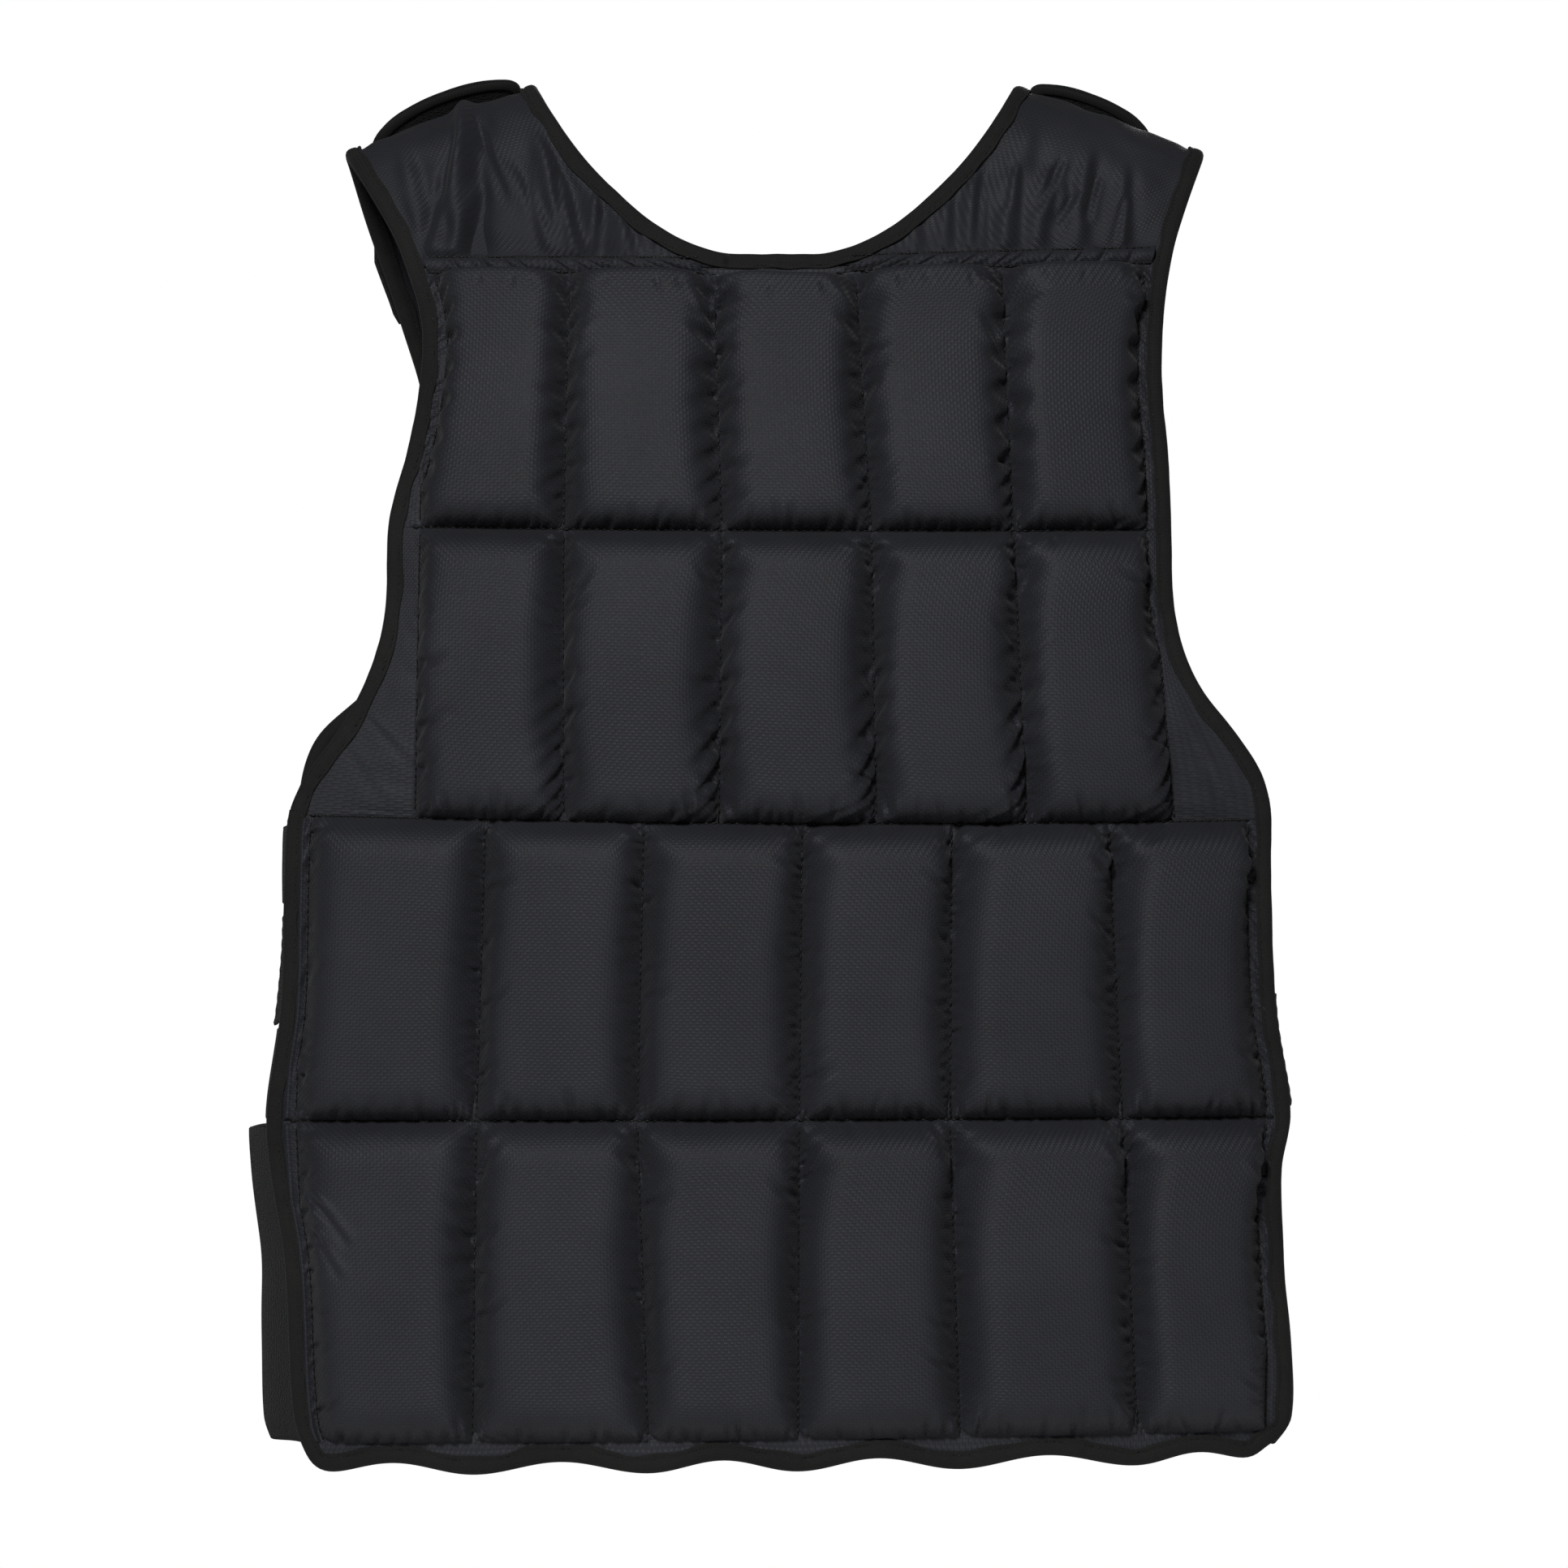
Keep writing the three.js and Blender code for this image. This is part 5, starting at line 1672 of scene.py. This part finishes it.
@dataclass
class Closures:
    """The hook-and-loop tabs and flaps that join the two panels at the flanks."""

    form: VestForm
    finishes: Finishes
    wall: float = 2.5 * MM
    hold: float = 34 * MM  # how far a flank piece lies on each panel's inside
    # Node, side, top and bottom as shares of the body length, bow at the top and bottom, hook or loop face.
    PIECES = (
        ("side_tab_left_upper", Side.LEFT, 0.52, 0.574, 4, 3, "loop"),
        ("side_tab_left_middle", Side.LEFT, 0.586, 0.664, 2.5, 5, "hook"),
        ("side_tab_left_lower", Side.LEFT, 0.67, 0.733, 3, 2.5, "loop"),
        ("waist_flap_left", Side.LEFT, 0.743, 0.973, 10, 16, "loop"),
        ("side_tab_right_upper", Side.RIGHT, 0.53, 0.608, 2, 2, "loop"),
        ("side_tab_right_lower", Side.RIGHT, 0.645, 0.723, 2, 2, "hook"),
        ("waist_flap_right", Side.RIGHT, 0.743, 0.973, 2, 2, "loop"),
    )

    def route(self, side: Side, z: Array, bow: Array, u: Array) -> Array:
        """The strip's way round the flank: through nine places, on a smooth curve by the root of its length.

        Args:
            side: which flank.
            z: heights, one for each row.
            bow: how far the strip bows out past the back panel's edge at each height.
            u: places along the strip, 0 to 1, from the back to the front.

        Returns:
            Rows by columns by three.
        """
        f = self.form
        inside = f.tape_half - f.lining / 2 + f.sewn_lift
        reach = {face: f.reach(face, side, z) for face in Face}

        def held(face: Face, into: float, turned: float = 1.0) -> Array:
            """Places inside a panel's lining, so far in from its edge; turned draws them to the middle."""
            x = reach[face] - into
            return np.stack([side.value * x, face.value * (f.depth(face, x, z) - inside) * turned, z], -1)

        ways = {face: [held(face, self.hold), held(face, self.hold / 2), held(face, f.tape),
                       held(face, 0.0, 0.84)] for face in Face}
        far = np.maximum(reach[Face.BACK], reach[Face.FRONT]) + bow
        middle = np.stack([side.value * far, 0 * z, z], -1)
        stops = np.stack([*ways[Face.BACK], middle, *ways[Face.FRONT][::-1]])
        s = added_up(spans(stops).mean(1) ** 0.5)
        at = np.interp(u * (len(s) - 1), np.arange(len(s)), s)
        rows = []
        for k in range(len(z)):
            rows.append(np.stack([smooth_read(s, stops[:, k, c].copy(), at) for c in range(3)], 1))
        return np.array(rows)

    def strip(self, name: str, side: Side, top: float, bottom: float, bow_top: float, bow_bottom: float,
              kind: str) -> bpy.types.Object:
        """Builds one flank piece: its cloth with a soft sag between its ends and small waves along its edges.

        Args:
            name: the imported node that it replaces.
            side: which flank.
            top: its top as a share of the body length.
            bottom: its bottom.
            bow_top: how far it bows out at the top, in millimetres.
            bow_bottom: how far at the bottom.
            kind: hook or loop.

        Returns:
            The strip's object.
        """
        f = self.form
        rows = max(int((bottom - top) * f.body / (1.6 * MM)), 12)
        v = np.linspace(0, 1, rows)
        u = np.linspace(0, 1, 130)
        z = -mix(top, bottom, v) * f.body
        grid = self.route(side, z, mix(bow_top, bow_bottom, v) * MM, u)
        inward = grid_normals(grid, (0, 0, -0.4)) * -1
        seed = sum(map(ord, name))
        # soft corners: the strip's top and bottom are pulled in at its ends
        corner = np.clip((np.abs(2 * u - 1) - 0.9) / 0.1, 0, 1)[None, :] ** 2 * np.sign(0.5 - v)[:, None]
        grid[..., 2] -= corner * np.clip(np.abs(2 * v - 1) - 0.6, 0, 1)[:, None] * 8 * MM
        edge = wander(0.2, 19 * MM, 130, seed)[None, :] * 0.5 * MM * (np.abs(2 * v - 1) ** 6)[:, None]
        grid[..., 2] += edge
        dents = soft_noise(grid.shape[:2], 120, seed) * 0.45 * MM
        if kind == "hook":  # rows of hooks end in a serrated edge
            teeth = np.abs(((v * rows / 1.5) % 1) - 0.5) * 2
            dents = dents + teeth[:, None] * 0.7 * MM
        round_edge = 1 - 0.5 * np.abs(2 * v - 1)[:, None] ** 24
        outer = grid - inward * (dents * 0.5 * np.clip(1 - np.abs(2 * u - 1) ** 8, 0, 1)[None, :])[..., None]
        inner = outer + inward * (self.wall * round_edge)[..., None]
        cloth = self.finishes.hook if kind == "hook" else self.finishes.loop
        piece = closed_sheet(name.replace("side_tab", "side_closure").replace("waist_flap", "waist_closure"),
                             inner, outer, cloth, rim=1)
        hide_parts(name)
        return piece


@dataclass
class ShoulderTab:
    """The front's hook-and-loop tab on one shoulder, with tape folded round its rounded free end."""

    form: VestForm
    finishes: Finishes
    side: Side
    wall: float = 2.5 * MM
    lift_angle: float = 35.0  # how far over the shoulder's arch the tab lies on the strap, in degrees
    held: float = 0.7  # share of the tab's length up to there
    CENTRES = {Side.LEFT: 138 * MM, Side.RIGHT: 132 * MM}
    WIDTHS = {Side.LEFT: 62 * MM, Side.RIGHT: 50 * MM}
    RISES = {Side.LEFT: 22 * MM, Side.RIGHT: 17 * MM}

    def surface(self, u: Array, v: Array) -> Array:
        """The tab's underside: up the front strap, then straight on along the slope where it leaves it.

        Args:
            u: places from the armhole side, 0, to the neck side, 1.
            v: places from the front casing, 0, to the free end, 1.

        Returns:
            Rows by columns by three. The free end's length follows a half circle across the tab.
        """
        f, sign, held = self.form, self.side.value, self.held
        centre, half = self.CENTRES[self.side], self.WIDTHS[self.side] / 2
        leave = f.arch * (1 - math.cos(math.radians(self.lift_angle)))

        def foot(x: Array) -> Array:
            """Height of the front casing's upper edge."""
            return f.yoke_seam(Face.FRONT, x) + f.band / 2 + 2 * f.gap

        t = np.maximum(1 - v / held, 0)[:, None]
        high = f.shoulder(np.array(centre + half)) - leave
        outer_z = mix(high, foot(np.array(sign * centre)), t * t)
        outer = np.minimum(centre + half, f.reach(Face.FRONT, self.side, outer_z))
        x = sign * mix(outer, centre - half, u[None, :])
        drop = mix(leave, f.shoulder(x) - foot(x), t * t)
        lying = f.point(Face.FRONT, x, f.shoulder(x) - drop)
        start = f.point(Face.FRONT, x, f.shoulder(x) - leave)
        way = unit(start - f.point(Face.FRONT, x, f.shoulder(x) - leave - 0.5 * MM))
        round_end = np.sqrt(np.maximum(1 - (2 * u - 1) ** 2, 0))
        free = self.RISES[self.side] * mix(np.where(u < 0.5, 0.1, 0.35), 1, round_end)[None, :]
        past = np.maximum((v - held) / (1 - held), 0)[:, None]
        return np.where((v <= held)[:, None, None], lying, start + way * (free * past)[..., None])

    def build(self) -> list[bpy.types.Object]:
        """Builds the tab's cloth and the tape round its end.

        Returns:
            Both objects.
        """
        f = self.form
        u = crowded(60, 0.5)
        v = np.concatenate([np.linspace(0, self.held, 50), np.linspace(self.held, 1, 24)[1:]])
        base = self.surface(u, v)
        out = grid_normals(base, (self.side.value * 0.13, -0.02, -0.08))
        lift = f.lining / 2 + f.tape_half + f.sewn_lift
        ripple = soft_noise(base.shape[:2], 80, 31) * 0.3 * MM
        low = base + out * lift
        high = low + out * (self.wall + np.abs(ripple))[..., None]
        cloth = closed_sheet(f"shoulder_closure_{self.side.word}", low, high, self.finishes.loop, rim=1)
        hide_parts(f"shoulder_tab_{self.side.word}")
        middle = low + out * (self.wall / 2)
        start = 58  # the row where the tape starts, a little past the strap
        rim = np.concatenate([middle[start:, 0], middle[-1, 1:-1], middle[start:, -1][::-1]])
        normal = np.concatenate([out[start:, 0], out[-1, 1:-1], out[start:, -1][::-1]])
        tangent = unit(np.gradient(rim, axis=0))
        across = unit(np.cross(tangent, normal))
        centre = middle[start:].mean((0, 1))
        across *= np.sign((across * (rim - centre)).sum())
        angle = np.linspace(0, 2 * np.pi, 17)[:-1]
        profile = np.stack([-2.1 * MM + 2.9 * MM * np.cos(angle), 2.0 * MM * np.sin(angle)], -1)
        tape = swept(f"shoulder_closure_tape_{self.side.word}", rim, across, normal,
                     np.repeat(profile[None], len(rim), 0), self.finishes.tape, False)
        return [cloth, tape]


# Studio


@dataclass
class Studio:
    """The photograph's view, a pale floor and soft light."""

    centre: tuple[float, float] = (3.7 * MM, -277.8 * MM)
    frame_width: float = 657 * MM
    distance: float = 4.0
    plane: float = -50 * MM  # the panels' side edges lie about here
    floor_z: float = -0.75
    floor_radius: float = 1.1

    def camera(self) -> None:
        """Sets the camera straight behind the vest with a long lens."""
        data = bpy.data.cameras.new("photo_camera")
        data.sensor_width = 36.0
        data.lens = 36.0 * self.distance / self.frame_width
        data.clip_end = 50.0
        camera = bpy.data.objects.new("photo_camera", data)
        camera.location = (self.centre[0], self.plane - self.distance, self.centre[1])
        camera.rotation_euler = (math.pi / 2, 0, 0)
        bpy.context.scene.collection.objects.link(camera)
        bpy.context.scene.camera = camera

    def floor(self) -> None:
        """Lays a pale floor: a disc whose rings are spaced as the square of their number."""
        rings, n = 11, 64  # rings, and points round each
        turns = np.linspace(0, 2 * np.pi, n, endpoint=False)
        radius = self.floor_radius * np.linspace(0, 1, rings + 1)[1:, None] ** 2
        height = np.full((rings, n), self.floor_z)
        flat = np.stack([radius * np.cos(turns), radius * np.sin(turns), height], -1)
        points = np.concatenate([flat.reshape(-1, 3), [[0, 0, self.floor_z]]])
        k = np.arange(rings - 1)[:, None] * n + np.arange(n)[None, :]
        after = np.roll(k, -1, 1)
        polygons = np.stack([k, k + n, after + n, after], -1).reshape(-1, 4).tolist()
        polygons += np.stack([np.full(n, rings * n), np.arange(n), np.roll(np.arange(n), -1)], -1).tolist()
        mesh = bpy.data.meshes.new("studio_floor")
        mesh.from_pydata(points.tolist(), [], polygons)
        made = bpy.data.materials.new("matt_white_paint")
        made.use_nodes = True
        tree = made.node_tree
        skin = tree.nodes["Principled BSDF"]
        grain = add(tree, "TexNoise", {"Scale": 3.0}, {"Vector": add(tree, "TexCoord").outputs["Object"]})
        tone = tinted(tree, grain.outputs["Fac"], "#f2f2f1", "#fafafa")
        tree.links.new(tone, skin.inputs["Base Color"])
        skin.inputs["Roughness"].default_value = 0.9
        mesh.materials.append(made)
        floor = bpy.data.objects.new("studio_floor", mesh)
        bpy.context.scene.collection.objects.link(floor)

    def light(self, name: str, place: tuple, size: float, power: float) -> None:
        """Hangs a soft lamp that looks at the middle of the vest.

        Args:
            name: the lamp's name.
            place: where it hangs.
            size: its width.
            power: its power in watts.
        """
        data = bpy.data.lights.new(name, "AREA")
        data.shape = "DISK"
        data.size = size
        data.energy = power
        lamp = bpy.data.objects.new(name, data)
        lamp.location = place
        aim = Vector((0, 0, -0.28)) - Vector(place)
        lamp.rotation_euler = aim.to_track_quat("-Z", "Y").to_euler()
        bpy.context.scene.collection.objects.link(lamp)

    def build(self) -> None:
        """Sets the studio: white surroundings to the eye, dim ones to the cloth, and three soft lamps."""
        self.camera()
        self.floor()
        self.light("upper_left_softbox", (-0.45, -2.85, 1.05), 0.6, 61.0)
        self.light("right_fill", (1.8, -2.4, 0.2), 1.2, 0.8)
        self.light("far_side_softbox", (0.7, 2.7, 0.5), 1.2, 30.0)
        world = bpy.data.worlds.new("studio_air")
        world.use_nodes = True
        tree = world.node_tree
        tree.nodes.clear()
        seen = add(tree, "LightPath").outputs["Is Camera Ray"]
        dim = add(tree, "Background", {"Color": (1, 1, 1, 1), "Strength": 0.035})
        white = add(tree, "Background", {"Color": (1, 1, 1, 1), "Strength": 1.0})
        both = add(tree, "MixShader", {}, {0: seen, 1: dim.outputs[0], 2: white.outputs[0]})
        add(tree, "OutputWorld", {}, {"Surface": both.outputs[0]})
        bpy.context.scene.world = world
        bpy.context.scene.view_settings.view_transform = "Standard"


# Sewing it together


def seam_runs(form: VestForm, face: Face, lift: float) -> list[tuple[Array, Array]]:
    """The quilting seams of one face as paths for stitches.

    Args:
        form: the vest's form.
        face: back or front.
        lift: height over the lining's inner face.

    Returns:
        Points and normals of each seam.
    """
    runs = []

    def run(x: Array, z: Array) -> None:
        """Adds a path on the face."""
        runs.append((form.lifted(face, x, z, np.full(x.shape, lift)), form.normal(face, x, z)))
    t = np.linspace(0.01, 0.99, 60)
    for row, (starts, ends) in enumerate(form.ROWS):
        for start, end in zip(starts, ends):
            x = mix(start, end, t) * form.half
            z = mix(form.row_line(face, row, x), form.row_line(face, row + 1, x), t)
            left, right = (form.reach(face, side, z) - form.tape - form.channel for side in Side)
            run(np.clip(x, -left, right), z)
    for line in form.CROSSES:
        x = np.linspace(-1, 1, 200) * form.half
        z = form.cross_line(line, x)
        left, right = (form.reach(face, side, z) - form.tape for side in Side)
        keep = (x > -left) & (x < right)
        run(x[keep], z[keep])
    return runs


def casing_runs(form: VestForm, face: Face) -> list[tuple[Array, Array]]:
    """The two rows of stitches along each casing of one face, as paths.

    Args:
        form: the vest's form.
        face: back or front.

    Returns:
        Points and normals of each row.
    """
    runs = []
    for side in Side:
        for up in (-0.43, 0.43):
            far = form.reach(face, side, np.array(-form.YOKES[face][side] * form.body)) - form.tape
            x = side.value * np.linspace(0.3 * form.neck_half, far, 120)
            z = form.yoke_seam(face, x) + up * form.band
            runs.append((form.lifted(face, x, z, np.full(x.shape, 4.7 * MM)), form.normal(face, x, z)))
    return runs


def main() -> None:
    """Builds every sub-assembly in order and reports each piece."""
    logging.basicConfig(level=logging.INFO, format="%(message)s")
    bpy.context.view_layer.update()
    form, finishes = VestForm(), Finishes()
    Studio().build()
    jobs = [(QuiltedFace(form, finishes, face), row) for face in Face for row in range(4)]
    with ThreadPoolExecutor(4) as pool:
        shapes = list(pool.map(QuiltedFace.shape, *zip(*jobs)))
    for (quilt, row), (top, base, uv) in zip(jobs, shapes):
        log.info("quilted row: %s", quilt.pad(row, top, base, uv).name)
    for face in Face:
        log.info("lining: %s", LiningPanel(form, finishes, face).build().name)
    for side in Side:
        yoke = Yoke(form, finishes, side)
        log.info("yoke: %s", yoke.strap().name)
        for face in Face:
            log.info("casing: %s", yoke.casing(face).name)
    tapes = EdgeTapes(form, finishes)
    # The second stitching is thick near-black beads: real thread on the quilting and casing seams, drawn wide
    # so that it also paints the shade in the seam grooves.
    stitching, stitching_and_groove_shade = Stitching(finishes), Stitching(finishes, 3.0 * MM, 3.2 * MM, 0.46 * MM)
    made = [tapes.neck(), *(tapes.armhole(side) for side in Side), *(tapes.outer_edge(face) for face in Face)]
    for tape, points, across, normals in made:
        shift = -across * form.tape * tapes.GROOVE
        high = form.tape_half * 0.86  # a little over the groove's bottom
        runs = [(points + shift + normals * high * sign, normals * sign) for sign in (1, -1)]
        stitches = stitching.row(tape.name + "_stitches", runs)
        log.info("tape: %s with %s", tape.name, stitches.name)
    for face in Face:
        outside = stitching_and_groove_shade.row(f"{face.word}_quilting_stitches", seam_runs(form, face, 4.4 * MM))
        log.info("stitches: %s", outside.name)
        casing = stitching_and_groove_shade.row(f"{face.word}_casing_stitches", casing_runs(form, face))
        log.info("stitches: %s", casing.name)
    closures = Closures(form, finishes)
    for piece in Closures.PIECES:
        log.info("closure: %s", closures.strip(*piece).name)
    for side in Side:
        for piece in ShoulderTab(form, finishes, side).build():
            log.info("shoulder tab: %s", piece.name)


if __name__ == "__main__":
    main()
